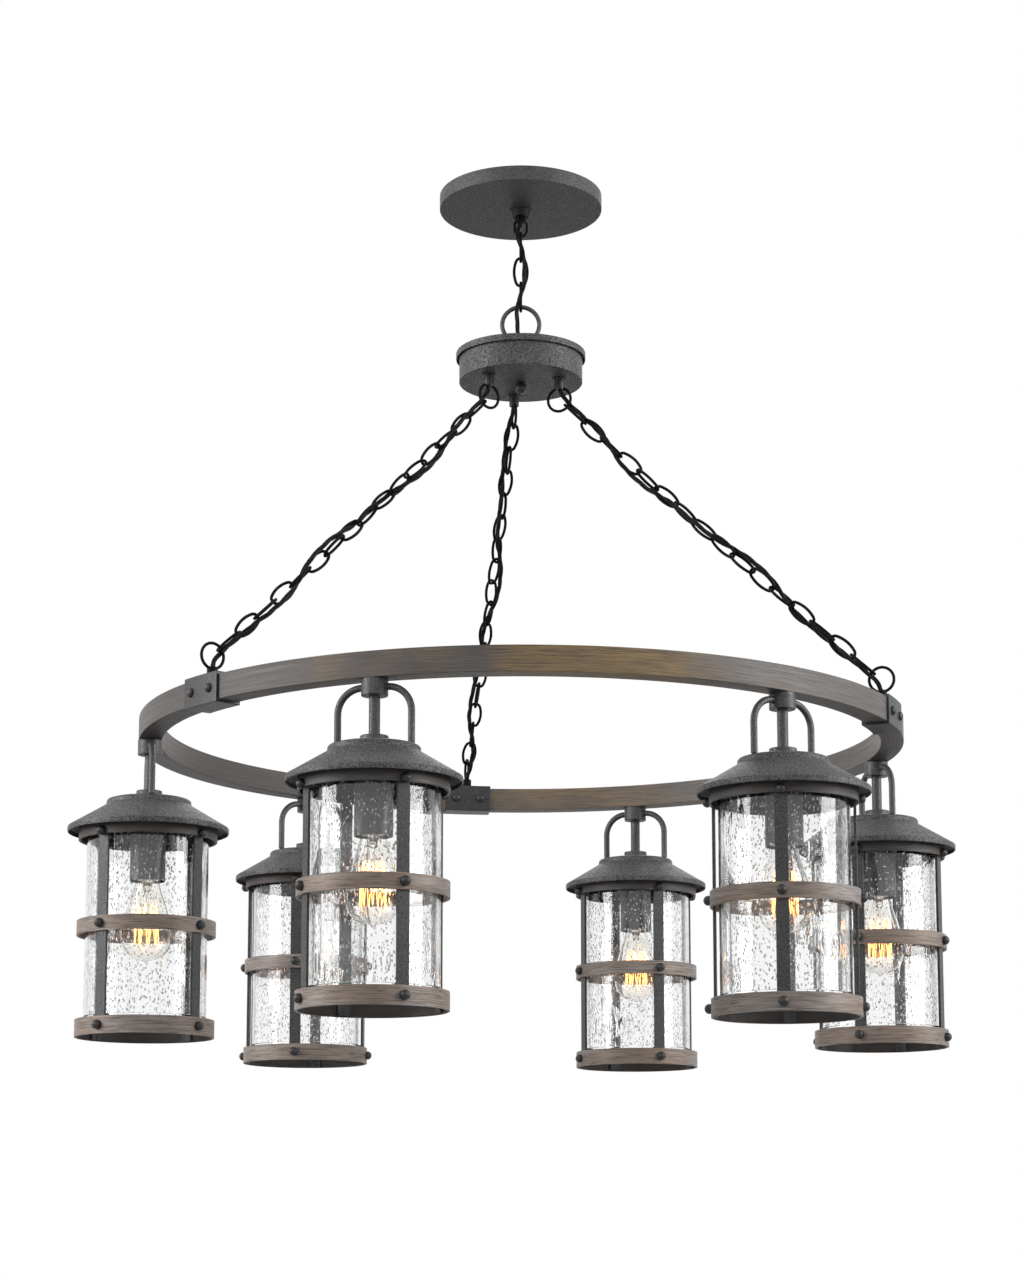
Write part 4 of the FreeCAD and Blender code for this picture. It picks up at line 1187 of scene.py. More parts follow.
@dataclass
class CanopyCover(SubAssembly):
    """Round pan and its ring nut, in millimetres."""

    radius: float = 100.0
    height: float = 18.0
    wall: float = 1.2
    bore: float = 10.0
    nut: float = 11.25
    nut_bore: float = 9.7
    nut_foot: float = -27.0
    flange: float = 13.0
    flange_height: float = 2.2

    def build(self) -> None:
        """Builds the pan and the ring nut."""
        inner = self.radius - self.wall
        floor = self.wall - self.height
        pan = Workshop.turned([
            (self.bore, -self.height), (self.radius, -self.height), (self.radius, 0.0), (inner, 0.0),
            (inner, floor), (self.bore, floor),
        ], 128, 0.5)
        step = -self.height - self.flange_height
        nut = Workshop.turned([
            (self.nut_bore, -self.height), (self.flange, -self.height), (self.flange, step),
            (self.nut, step), (self.nut, self.nut_foot), (self.nut_bore, self.nut_foot),
        ], 48, 0.35)
        body = Body.COVER.value
        self.workshop.piece("canopy_pan", pan, CANOPY_ZINC, Slot.ZINC, "canopy", body=body)
        self.workshop.piece("ring_nut", nut, FORGED, Slot.ZINC, "canopy_ring_nut", body=body)


@dataclass
class ShortChain(SubAssembly):
    """The three links between canopy and hub, with the cord."""

    mouth: float = -21.3 * MM
    hole: Span = (-1.5 * MM, -9.6 * MM)
    hole_depth: float = 8.0 * MM
    upper_bend: float = 8.0 * MM
    middle_bend: float = 1.0 * MM
    lower_bend: float = 20.0 * MM

    def build(self) -> None:
        """Builds the links and the three lengths of cord."""
        for index, level in enumerate(LAYOUT.link_middles):
            width = ACROSS if index % 2 else AWAY
            body = Body.LOWER_LINKS if index else Body.TOP_LINK
            self.workshop.piece(
                f"link_{index + 1}", oval_link(LAYOUT.link_reach), IRON, Slot.IRON,
                f"chain_link_{index + 1}", places=[axes(UP * level, width, UP)], body=body.value,
            )
        self.build_cord()

    def route(self) -> list[Vector]:
        """Points of the cord from the canopy down into the hub.

        Returns:
            The route, from its upper end.
        """
        middles = LAYOUT.link_middles
        side = LAYOUT.cord_offset
        bulge = LAYOUT.cord_bulge
        front = -side - bulge / 3
        reach = LAYOUT.cord_reach
        hub = LAYOUT.hub_loop
        ring = LAYOUT.hub_ring
        return [
            Vector((0.0, 0.0, self.mouth)),
            Vector((0.0, 0.0, LAYOUT.loop_foot - bulge)),
            Vector((-side, front - bulge / 3, LAYOUT.first_link + LAYOUT.link_wire)),
            Vector((-side, front, middles[0] + reach)),
            Vector((side, front, middles[0] - reach)),
            Vector((side + bulge / 2, front - bulge / 2, middles[1])),
            Vector((side, front, middles[2] + reach)),
            Vector((-side, front - bulge / 2, middles[2] - reach + 2 * bulge)),
            Vector((-side - bulge, front - 2 * bulge, hub + ring / 3)),
            Vector((-side + bulge, self.hole[1] + bulge, hub - ring * 2 / 3)),
            Vector((*self.hole, LAYOUT.hub_top + LAYOUT.hub_neck / 2)),
            Vector((*self.hole, LAYOUT.hub_top - self.hole_depth)),
        ]

    def build_cord(self) -> None:
        """Cuts the cord at the middles of two links, into three lengths."""
        upper = LAYOUT.link_middles[0]
        lower = LAYOUT.link_middles[1] + LAYOUT.cord_reach
        names = ("upper", "middle", "lower")
        cuts = (((upper, -1.0),), ((upper, 1.0), (lower, -1.0)), ((lower, 1.0),))
        bends = (
            (LAYOUT.loop_level + self.upper_bend, LAYOUT.loop_level - self.upper_bend),
            (upper - self.middle_bend, lower + self.middle_bend),
            (lower - self.lower_bend, LAYOUT.hub_loop),
        )
        for index, (start, end) in enumerate(bends):
            bm = TwistedCord(self.route()).mesh()
            for level, sign in cuts[index]:
                bmesh.ops.bisect_plane(
                    bm, geom=[*bm.verts, *bm.edges, *bm.faces], dist=1e-7, plane_co=(0, 0, level),
                    plane_no=(0, 0, sign), clear_outer=True, clear_inner=False,
                )
            wires = self.workshop.stand(f"supply_wires_{names[index]}", bm, CORD)
            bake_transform(wires)
            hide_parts(f"supply_cord_{names[index]}")


@dataclass
class Hub(SubAssembly):
    """Wide loop, drum with its lid, ball nut and three eyes, in millimetres."""

    lid_radius: float = 79.3
    lid_height: float = 8.0
    radius: float = 75.4
    wall: float = 1.6
    lid_gap: float = 0.05
    neck: float = 6.0
    flange: float = 8.0
    flange_height: float = 2.0

    def build(self) -> None:
        """Builds each piece of the hub."""
        top = LAYOUT.hub_top
        bottom = LAYOUT.hub_bottom
        loop = Workshop.ring(UP * LAYOUT.hub_loop, LAYOUT.hub_ring, LAYOUT.hub_wire, 64, 18)
        rise = (LAYOUT.hub_loop - LAYOUT.hub_ring - top) / MM
        neck = Workshop.turned(
            [(0.0, 0.0), (self.neck, 0.0), (self.neck, rise), (0.0, rise)], 32, 0.5, level=top
        )
        whole = Workshop.gather([loop, neck])
        self.workshop.piece("hub_hanging_loop", whole, ROD_ZINC, Slot.ZINC, "hub_loop")
        inner = self.lid_radius - self.wall
        lid = Workshop.turned([
            (0.0, 0.0), (self.lid_radius, 0.0), (self.lid_radius, -self.lid_height),
            (inner, -self.lid_height), (inner, -self.wall), (0.0, -self.wall),
        ], 112, 0.55, level=top)
        self.workshop.piece("hub_lid", lid, ZINC, Slot.ZINC, "hub_cover")
        height = LAYOUT.hub_height / MM - self.wall - self.lid_gap
        drum = Workshop.turned(
            [(0.0, 0.0), (self.radius, 0.0), (self.radius, height), (0.0, height)], 112, 0.6, level=bottom
        )
        self.workshop.piece("hub_drum", drum, ZINC, Slot.ZINC, "hub_body", "hub_rod", "hub_eye_nuts")
        ball = Workshop.turned([
            (0.0, 0.0), (5.0, 0.0), (6.4, -3.0), (7.0, -6.6), (6.0, -10.4), (3.4, -12.8), (0.0, -13.6),
        ], 36, level=bottom)
        self.workshop.piece("hub_ball", ball, FORGED, Slot.ZINC, "hub_finial", sharp=60.0)
        places = LAYOUT.eye_places(bottom, LAYOUT.eye_circle, True)
        ring, neck = self.eye(LAYOUT.hub_eye_neck)
        self.workshop.piece("drum_eyes", ring, IRON, Slot.IRON, "hub_eyes", places=places)
        flange = Workshop.turned([
            (EYE_BORE, 0.0), (self.flange, 0.0), (self.flange, self.flange_height),
            (EYE_BORE, self.flange_height),
        ], 32, 0.5)
        neck = Workshop.gather([neck, flange])
        self.workshop.piece("drum_eye_necks", neck, FORGED, Slot.IRON, places=places)

    @staticmethod
    def eye(length: float) -> tuple[Solid, Solid]:
        """An eye on its hollow neck, with zero at the neck's foot.

        Args:
            length: The neck's length, in metres.

        Returns:
            The eye and its neck.
        """
        level = length - LAYOUT.eye_sink + LAYOUT.eye_reach + LAYOUT.eye_wire / 2
        ring = Workshop.ring(UP * level, LAYOUT.eye_reach, LAYOUT.eye_wire + LAYOUT.coat / 2, 48, 14)
        mouth = length / MM - 0.2
        outline = [(EYE_BORE, 0.0), (EYE_NECK, 0.0), (EYE_NECK, mouth), (EYE_BORE, mouth)]
        neck = Workshop.turned(outline, 32, 0.7)
        return ring, neck


@dataclass(frozen=True)
class LinkAxes:
    """A link's middle, its heading, its width direction and the one across it."""

    middle: Vector
    heading: Vector
    first: Vector
    second: Vector

    def beside(self, sides: list[int], offset: float, along: float = 0.0) -> Vector:
        """A point in one of the link's four quarters.

        Args:
            sides: The quarter, as the signs of its two cross directions.
            offset: How far it lies out along each of them.
            along: How far it lies along the heading.

        Returns:
            The point.
        """
        out = self.first * sides[0] + self.second * sides[1]
        return self.middle + self.heading * along + out * offset


@dataclass
class SpreaderChains(SubAssembly):
    """The three long chains with the wires woven through them."""

    def build(self) -> None:
        """Builds the links and wires of each chain."""
        for index in range(LAYOUT.chains):
            points, _, _, sideways = self.layout(index)
            reach = (points[1] - points[0]).length + LAYOUT.link_wire + LAYOUT.link_gap
            places = []
            for step in range(len(points) - 1):
                link = self.link_axes(points, step, sideways)
                places.append(axes(link.middle, link.second if step % 2 else link.first, link.heading))
            name = index + 1
            self.workshop.piece(
                f"long_chain_{name}", oval_link(reach), IRON, Slot.IRON, f"spreader_chain_{name}", places=places
            )
            wires = TwistedCord(self.route(index)).mesh()
            self.workshop.piece(
                f"chain_wires_{name}", wires, CORD, Slot.CORD, f"chain_cord_{name}", sharp=60.0
            )

    @staticmethod
    def ends(index: int) -> tuple[Vector, Vector, Vector]:
        """Where a chain's two eyes are.

        Args:
            index: Which chain.

        Returns:
            The upper middle, the lower middle and the sideways direction.
        """
        angle = LAYOUT.bracket_angle(index)
        outward = Vector((math.cos(angle), math.sin(angle), 0.0))
        drop = LAYOUT.eye_reach + LAYOUT.eye_wire / 2 - LAYOUT.eye_sink
        upper = outward * LAYOUT.eye_circle + UP * (LAYOUT.hub_bottom - LAYOUT.hub_eye_neck - drop)
        lower = outward * LAYOUT.ring_radius + UP * (LAYOUT.bracket_top + LAYOUT.ring_eye_neck + drop)
        return upper, lower, Vector((-math.sin(angle), math.cos(angle), 0.0))

    def layout(self, index: int) -> tuple[list[Vector], Vector, Vector, Vector]:
        """Pitch points of a chain, its directions at both ends and its sideways direction.

        Args:
            index: Which chain.

        Returns:
            The points, the direction at the upper end, the one at the lower end, and sideways.
        """
        upper, lower, sideways = self.ends(index)
        span = lower - upper
        slope = math.atan(4 * LAYOUT.sag / span.length)
        chord = span.normalized()
        first = Quaternion(sideways, slope) @ chord
        last = Quaternion(sideways, -slope) @ chord
        seat = LAYOUT.eye_reach - (LAYOUT.eye_wire + LAYOUT.link_gap) / 2
        start = upper + first * seat
        end = lower - last * seat
        count = round((end - start).length / LAYOUT.pitch)
        droop = Quaternion(sideways, math.pi / 2) @ chord
        points = []
        for step in range(count + 1):
            share = step / count
            points.append(start.lerp(end, share) + droop * (4 * LAYOUT.sag * share * (1 - share)))
        return points, first, last, sideways

    @staticmethod
    def link_axes(points: list[Vector], step: int, sideways: Vector) -> LinkAxes:
        """The axes of a link, turned a little from link to link so that both eyes are met squarely.

        Args:
            points: The chain's pitch points.
            step: Which link.
            sideways: The chain's sideways direction.

        Returns:
            The link's axes.
        """
        count = len(points) - 1
        drift = 0.0 if count % 2 else -math.pi / 2 / (count - 1)
        heading = (points[step + 1] - points[step]).normalized()
        first = Quaternion(heading, step * drift) @ sideways
        return LinkAxes((points[step] + points[step + 1]) / 2, heading, first, heading.cross(first))

    @staticmethod
    def crossings(count: int) -> list[int]:
        """Links that the wires go through, so that they end on the bracket's free side.

        Args:
            count: How many links the chain has.

        Returns:
            The links' numbers, from the top.
        """
        chosen = list(range(2, count - 1, LAYOUT.crossing_links))
        while True:
            sides = [1, 1]
            for step in chosen:
                sides[(step + 1) % 2] *= -1
            if sides == [1, -1]:
                return chosen
            chosen.pop()

    def route(self, index: int) -> list[Vector]:
        """Points of the wires, to and fro through the chain.

        Args:
            index: Which chain.

        Returns:
            The route from the drum's eye down into the bracket.
        """
        points, start, end, sideways = self.layout(index)
        upper, lower, _ = self.ends(index)
        count = len(points) - 1
        chosen = self.crossings(count)
        offset = LAYOUT.cord_offset
        reach = LAYOUT.cord_reach
        ring = LAYOUT.eye_reach + LAYOUT.eye_wire / 2
        mouth = ring - LAYOUT.eye_sink - LAYOUT.link_wire
        sides = [1, 1]
        route = [
            upper + UP * (ring + LAYOUT.hub_eye_neck / 2),
            upper + UP * mouth,
            upper + start * reach + (sideways + start.cross(sideways)) * offset,
            self.link_axes(points, 1, sideways).beside(sides, offset + LAYOUT.cord_bulge, -reach),
        ]
        for step in range(2, count - 1):
            link = self.link_axes(points, step, sideways)
            if step in chosen:
                route.append(link.beside(sides, offset, -reach))
                sides[(step + 1) % 2] *= -1
                route.append(link.beside(sides, offset, reach))
            else:
                route.append(link.beside(sides, offset + LAYOUT.cord_bow))
        link = self.link_axes(points, count - 1, sideways)
        out = (link.first * sides[0] + link.second * sides[1]) * offset
        return route + [
            lower - end * (reach - LAYOUT.link_wire) + out,
            lower - UP * mouth,
            lower - UP * (ring + LAYOUT.ring_eye_neck / 2),
        ]


@dataclass
class RingFrame(SubAssembly):
    """The flat-sided ring in three segments, with its brackets, eyes and bolts."""

    joint_gap: float = 0.6 * MM
    bracket_length: float = 62.0 * MM
    bolt_spacing: float = 34.0 * MM
    bolt: Triple = (5.3, 1.4, 2.8)

    def build(self) -> None:
        """Builds segments, sleeves, eyes and bolts."""
        for index in range(LAYOUT.chains):
            self.build_segment(index)
            self.build_sleeve(index)
        eye = Workshop.gather(list(Hub.eye(LAYOUT.ring_eye_neck)))
        places = LAYOUT.eye_places(LAYOUT.bracket_top, LAYOUT.ring_radius, False)
        self.workshop.piece("ring_eyes", eye, IRON, Slot.IRON, "bracket_eyes", places=places)
        self.workshop.piece(
            "sleeve_bolts", domed_head(*self.bolt), FORGED, Slot.IRON, "bracket_bolts",
            places=self.bolt_places(), sharp=60.0,
        )

    @staticmethod
    def sweep(inset: float, start: float, angle: float, steps: int) -> Solid:
        """A solid stretch of the ring's section.

        Args:
            inset: How far the section is drawn in; negative makes it larger.
            start: Where it starts, in radians.
            angle: How far it turns, in radians.
            steps: Facets along it.

        Returns:
            The stretch, closed at both ends.
        """
        inner = LAYOUT.ring_outer - LAYOUT.ring_width + inset
        outer = LAYOUT.ring_outer - inset
        low = LAYOUT.ring_bottom + inset
        high = LAYOUT.ring_top - inset
        bm = bmesh.new()
        section = ((inner, low), (outer, low), (outer, high), (inner, high))
        corners = [bm.verts.new((radius, 0.0, level)) for radius, level in section]
        edges = [bm.edges.new((corners[index - 1], corners[index])) for index in range(4)]
        bmesh.ops.rotate(bm, verts=corners, cent=(0, 0, 0), matrix=Matrix.Rotation(start, 3, "Z"))
        last = bmesh.ops.spin(
            bm, geom=corners + edges, cent=(0, 0, 0), axis=(0, 0, 1), dvec=(0, 0, 0),
            angle=angle, steps=steps, use_merge=False, use_duplicate=False,
        )["geom_last"]
        bmesh.ops.contextual_create(bm, geom=edges)
        bmesh.ops.contextual_create(bm, geom=[item for item in last if isinstance(item, Edge)])
        bmesh.ops.recalc_face_normals(bm, faces=bm.faces)
        return bm

    def build_segment(self, index: int) -> None:
        """Builds one third of the ring.

        Args:
            index: Which third.
        """
        gap = self.joint_gap / 2 / LAYOUT.ring_radius
        bm = self.sweep(0.0, LAYOUT.bracket_angle(index) + gap, math.tau / LAYOUT.chains - 2 * gap, 60)
        Workshop.soften(bm, 0.7, 3)
        name = index + 1
        self.workshop.piece(
            f"ring_third_{name}", bm, RING_DRIFTWOOD, Slot.STREAKED, f"ring_segment_{name}"
        )

    def build_sleeve(self, index: int) -> None:
        """Builds one sleeve round a joint.

        Args:
            index: Which joint.
        """
        length = self.bracket_length / LAYOUT.ring_radius
        start = LAYOUT.bracket_angle(index) - length / 2
        bm = self.sweep(-LAYOUT.sleeve_gap - LAYOUT.sleeve_wall, start, length, 12)
        Workshop.soften(bm, 0.8, 3)
        name = index + 1
        self.workshop.piece(f"ring_sleeve_{name}", bm, FORGED, Slot.IRON, f"ring_bracket_{name}")

    def bolt_places(self) -> list[Matrix]:
        """Where the domed bolts stand, on both faces of each sleeve.

        Returns:
            One place for each bolt.
        """
        face = LAYOUT.ring_width / 2 + LAYOUT.sleeve_gap + LAYOUT.sleeve_wall
        level = LAYOUT.ring_top - LAYOUT.ring_height / 2
        outer = Matrix.Translation((LAYOUT.ring_radius + face, 0.0, level))
        inner = Matrix.Translation((LAYOUT.ring_radius - face, 0.0, level))
        flip = Matrix.Rotation(math.pi, 4, "Z")
        places = []
        for index in range(LAYOUT.chains):
            for side in (-1, 1):
                angle = LAYOUT.bracket_angle(index) + side * self.bolt_spacing / 2 / LAYOUT.ring_radius
                turn = Matrix.Rotation(angle, 4, "Z")
                places += [turn @ outer, turn @ inner @ flip]
        return places


@dataclass
class LanternHangers(SubAssembly):
    """Boss, stem, bail and washer that carry each lantern, in millimetres."""

    collar: float = 14.35
    collar_height: float = 18.0
    stem: float = 6.0
    stem_sink: float = 2.0
    bail: float = 3.75
    bail_root: float = 10.0
    bail_reach: float = 41.5
    bail_bend: float = 27.0
    bail_drop: float = 8.5
    bail_sink: float = 2.4
    roof_top: float = 67.5
    washer: float = 15.0
    washer_height: float = 7.0
    washer_sink: float = 0.8

    def build(self) -> None:
        """Builds every lantern's hanger, one piece for each kind."""
        boss = self.drum(self.collar, 0.0, -self.collar_height, 48, 0.8)
        self.make("stem_bosses", boss, "hanger_collars", "hanger_nuts")
        low = self.washer_height - self.roof_top
        stem = self.drum(self.stem, self.stem_sink - self.collar_height, low, 36, 0.0)
        self.make("stems", stem, "hanger_stems")
        washer = self.drum(self.washer, low, -self.roof_top - self.washer_sink, 40, 0.8)
        self.make("stem_washers", washer, "roof_washers")
        self.make("bails", Workshop.gather([self.half_bail(1.0), self.half_bail(-1.0)]), "hanger_bails")

    @staticmethod
    def drum(radius: float, top: float, bottom: float, steps: int, edge: float) -> Solid:
        """A round drum with softly rounded edges."""
        return Workshop.turned([(0.0, top), (radius, top), (radius, bottom), (0.0, bottom)], steps, edge, 3)

    def half_bail(self, sign: float) -> Solid:
        """The bent rod on one side, from the boss out and down into the roof.

        Args:
            sign: Which side, as 1 or -1.

        Returns:
            The rod.
        """
        turn_at = self.bail_reach - self.bail_bend
        knee = self.bail_drop + self.bail_bend
        start = Vector((0.0, sign * self.bail_root, -self.bail_drop)) * MM
        path = [
            Run(AWAY * sign * (turn_at - self.bail_root) * MM),
            Bend(Vector((0.0, sign * turn_at, -knee)) * MM, -sign * ACROSS, math.pi / 2, 16),
            Run(UP * (knee - self.roof_top - self.bail_sink) * MM),
        ]
        return Workshop.rod(start, AWAY * sign, self.bail * MM, 20, path)

    def make(self, name: str, bm: Solid, *nodes: str) -> None:
        """Copies one kind to every lantern and finishes it.

        Args:
            name: The piece's name.
            bm: One lantern's mesh.
            nodes: The CAD nodes that it stands for.
        """
        self.workshop.piece(name, bm, ROD_ZINC, Slot.ZINC, *nodes, places=LAYOUT.lanterns())


@dataclass(frozen=True)
class Hoop:
    """A hoop's piece, node and finish, its drop, height and stud level in millimetres, and whether its inner
    faces get a painted shade.
    """

    name: str
    node: str
    finish: Finish
    drop: float
    height: float
    studs: float
    painted_shade_inside: bool = False


HOOPS = (
    Hoop("top_hoops", "upper_bands", ROOF_SHADED_DRIFTWOOD, 98.78, 22.0, 18.48),
    Hoop("waist_hoops", "middle_bands", DRIFTWOOD, 214.8, 17.4, 8.7),
    Hoop("foot_hoops", "lower_bands", DRIFTWOOD, 329.2, 20.4, 10.2, True),
)
ROOF: Outline = [
    (0.0, -67.5), (12.0, -67.65), (24.0, -68.4), (36.0, -69.6), (44.0, -70.8), (47.6, -71.9),
    (49.1, -73.7), (49.35, -77.0), (50.2, -78.6), (70.0, -90.6), (92.3, -103.9), (93.2, -104.6),
    (93.5, -105.5), (93.5, -109.9), (93.2, -110.7), (92.6, -111.0), (92.0, -110.7), (91.9, -109.9),
    (91.9, -106.6), (91.0, -105.4), (69.0, -92.4), (48.6, -80.0), (48.0, -74.3), (44.0, -72.3), (0.0, -69.0),
]


@dataclass
class LanternCages(SubAssembly):
    """Roof, hoops, straps, studs, glass tabs and glass of each lantern, in millimetres."""

    band: float = 80.25
    thickness: float = 3.0
    strap_width: float = 14.0
    strap_thickness: float = 3.0
    strap_gap: float = 0.1
    strap_span: Span = (-348.1, -100.0)
    stud: Triple = (5.35, 3.0, 4.0)
    tab: Triple = (8.0, 10.0, 9.0)
    tab_wall: float = 2.0
    tab_level: float = -326.4
    glass: float = 70.53
    glass_wall: float = 3.0
    glass_span: Span = (-326.3, -93.05)

    def build(self) -> None:
        """Builds every lantern's cage, one piece for each kind."""
        places = LAYOUT.lanterns()
        roof = Workshop.turned(ROOF, 112)
        self.workshop.piece("roofs", roof, ZINC, Slot.ZINC, "lantern_roofs", places=places, sharp=30.0)
        for hoop in HOOPS:
            band = self.band_of(hoop)
            self.workshop.piece(hoop.name, band, hoop.finish, Slot.STREAKED, hoop.node, places=places)
        quarters = [Matrix.Rotation(math.radians(45.0 + 90.0 * index), 4, "Z") for index in range(4)]
        straps = [place @ quarter for place in places for quarter in quarters]
        half = self.strap_width / 2
        face = math.sqrt((self.band - self.thickness) ** 2 - half ** 2) - self.strap_gap
        back = face - self.strap_thickness
        low, high = self.strap_span
        bar = Workshop.block((back, -half, low), (face, half, high), 0.5)
        self.workshop.piece("upright_straps", bar, STRAP_ZINC, Slot.ZINC, "cage_straps", places=straps)
        seats = [Vector((self.band, 0.0, -hoop.drop - hoop.studs)) * MM for hoop in HOOPS]
        studs = [place @ Matrix.Translation(seat) for seat in seats for place in straps]
        head = domed_head(*self.stud)
        self.workshop.piece("hoop_studs", head, FORGED, Slot.IRON, "cage_studs", places=studs, sharp=60.0)
        shelf = self.shelf(back - self.strap_gap)
        self.workshop.piece("glass_shelves", shelf, IRON, Slot.IRON, "glass_tabs", places=straps)
        inner = self.glass - self.glass_wall
        low, high = self.glass_span
        tube = Workshop.turned([(inner, low), (self.glass, low), (self.glass, high), (inner, high)], 128, 0.6)
        self.workshop.piece(
            "seeded_glasses", tube, SEEDED, Slot.GLASS, "lantern_glasses", places=places, sharp=12.0
        )

    def band_of(self, hoop: Hoop) -> Solid:
        """One hoop, whose inner faces are marked for a painted shade when the hoop asks for it.

        Args:
            hoop: Its measures.

        Returns:
            The hoop.
        """
        inner = self.band - self.thickness
        top, foot = -hoop.drop, -hoop.drop - hoop.height
        bm = Workshop.turned([(inner, top), (self.band, top), (self.band, foot), (inner, foot)], 96, 0.45)
        # Marks the inner faces that the finish paints in shade.
        if hoop.painted_shade_inside:
            inside = bm.faces.layers.float.new("inside")
            for face in bm.faces:
                centre = face.calc_center_median()
                if math.hypot(centre.x, centre.y) < (inner + 0.2 * self.thickness) * MM:
                    face[inside] = 1.0
        return bm

    def shelf(self, outer: float) -> Solid:
        """A small shelf under the glass, with its leg against the strap's inner face.

        Args:
            outer: How far out the leg stands, in millimetres.

        Returns:
            The shelf with its leg.
        """
        reach, width, drop = self.tab
        top = self.tab_level
        high = (outer, width / 2, top)
        shelf = Workshop.block((outer - reach, -width / 2, top - self.tab_wall), high, 0.4)
        leg = Workshop.block((outer - self.tab_wall, -width / 2, top - drop), high, 0.4)
        return Workshop.gather([shelf, leg])


@dataclass
class LampSockets(SubAssembly):
    """The deep cup and the lampholder in each lantern, in millimetres."""

    cup: float = 20.5
    cup_wall: float = 1.0
    cup_span: Span = (-167.3, -73.5)
    neck: float = 8.0
    shoulder: Span = (-104.6, -88.6)
    holder: float = 17.5
    holder_span: Span = (-165.3, -75.0)
    bore: float = 13.6
    bore_floor: float = -138.3

    def build(self) -> None:
        """Builds the cups and holders."""
        places = LAYOUT.lanterns()
        low, high = self.cup_span
        inner = self.cup - self.cup_wall
        ceiling = high - self.cup_wall
        cup = Workshop.turned([
            (0.0, high), (self.cup, high), (self.cup, low), (inner, low), (inner, ceiling), (0.0, ceiling),
        ], 64, 0.3)
        low, high = self.holder_span
        foot, top = self.shoulder
        holder = Workshop.turned([
            (0.0, high), (self.neck, high), (self.neck, top), (self.holder, foot), (self.holder, low),
            (self.bore, low), (self.bore, self.bore_floor), (0.0, self.bore_floor),
        ], 48, 0.5)
        self.workshop.piece("lamp_cups", cup, CUP_ZINC, Slot.ZINC, "socket_cups", places=places)
        self.workshop.piece("lamp_holders", holder, HOLDER, Slot.HOLDER, "lampholders", places=places)


@dataclass
class Bulbs(SubAssembly):
    """Six filament bulbs: envelope, cap, glass stem and glowing wires, in millimetres."""

    top: float = -165.3
    wall: float = 0.8
    threads: int = 5
    thread_pitch: float = 3.0
    thread: Span = (12.4, 13.1)
    hairpins: int = 9
    wire: float = 0.21
    wire_span: Span = (76.0, 29.0)
    cage_head: float = 11.0
    cage_foot: float = 14.2
    half_waist: float = 6.9
    waist_drop: float = 0.45

    def build(self) -> None:
        """Builds one bulb at each lantern."""
        for number, place in enumerate(LAYOUT.lanterns(), 1):
            for name, bm, finish, slot, node, sharp in (
                ("envelope", self.envelope(), AMBER, Slot.BULB, "bulb_glass", 60.0),
                ("lamp_cap", self.cap(), BRASS, Slot.CAP, "bulb_cap", 40.0),
                ("filament", self.wires(), FILAMENT, Slot.CAP, "", 60.0),
            ):
                nodes = (f"{node}_{number}",) if node else ()
                self.workshop.piece(
                    f"{name}_{number}", bm, finish, slot, *nodes,
                    places=[place], body=f"bulb_{number}", sharp=sharp,
                )

    def outline(self, wall: float) -> Outline:
        """Half outline of the envelope, drawn in by a wall.

        Args:
            wall: How far it is drawn in.

        Returns:
            The outline.
        """
        shape = (
            (13.4, 0.0), (14.4, 6.0), (17.0, 16.0), (21.2, 28.0), (25.4, 42.0), (28.0, 55.0), (28.95, 66.0),
            (28.2, 75.5), (25.2, 83.5), (19.6, 89.6), (12.0, 93.0), (5.6, 94.2), (3.0, 95.0), (1.8, 96.8),
        )
        points = [(0.0, self.top - wall)]
        for radius, drop in shape:
            lift = wall if drop > 80.0 else 0.0
            points.append((max(radius - wall, 0.4), self.top - drop + lift))
        return points + [(0.0, self.top - 97.4 + wall)]

    def envelope(self) -> Solid:
        """The thin-walled glass envelope with the glass stem inside.

        Returns:
            Both skins and the stem.
        """
        outer = Workshop.turned(self.outline(0.0), 64)
        inner = Workshop.turned(self.outline(self.wall), 64)
        bmesh.ops.reverse_faces(inner, faces=inner.faces)
        profile = (
            (0.0, 1.5), (6.5, 1.5), (5.6, 4.0), (4.4, 7.0), (4.9, 8.6), (4.2, 10.2), (4.7, 12.0),
            (3.4, 13.6), (1.5, 14.8), (1.5, 27.6), (2.2, 28.4), (2.2, 29.4), (1.4, 30.2), (0.0, 30.4),
        )
        stem = Workshop.turned([(radius, self.top - drop) for radius, drop in profile], 24)
        return Workshop.gather([outer, inner, stem])

    def cap(self) -> Solid:
        """The screw cap with rolled threads, and its contact.

        Returns:
            The cap.
        """
        outline = [(0.0, self.top + 0.1), (13.0, self.top + 0.1)]
        root, crest = self.thread
        for turn in range(self.threads):
            level = self.top + self.thread_pitch * (turn + 1)
            outline += [(root, level), (crest, level + 0.8), (crest, level + 1.4), (root, level + 2.2)]
        outline += [(11.0, self.top + 19.5), (6.0, self.top + 24.4), (0.0, self.top + 25.6)]
        return Workshop.turned(outline, 40)

    def wires(self) -> Solid:
        """The squirrel cage of glowing wires, narrow at its waist and wide at its foot.

        Returns:
            All the wires.
        """
        low, high = (self.top - drop for drop in self.wire_span)
        step = math.pi / self.hairpins
        turns = [pin * step for pin in range(2 * self.hairpins)]
        spokes = [Vector((math.cos(turn), math.sin(turn), 0.0)) for turn in turns]
        parts = []
        for pin, spoke in enumerate(spokes):
            ends = (spoke, spokes[(pin + 1) % len(spokes)])
            upper, lower = ends if pin % 2 == 0 else ends[::-1]
            top = upper * self.cage_head + UP * high
            waist = (upper + lower) * self.half_waist + UP * (high + (low - high) * self.waist_drop)
            foot = lower * self.cage_foot + UP * low
            for first, last in ((top, waist), (waist, foot)):
                run = (last - first) * MM
                parts.append(Workshop.rod(first * MM, run.normalized(), self.wire * MM, 8, [Run(run)]))
        return Workshop.gather(parts)


# Studio


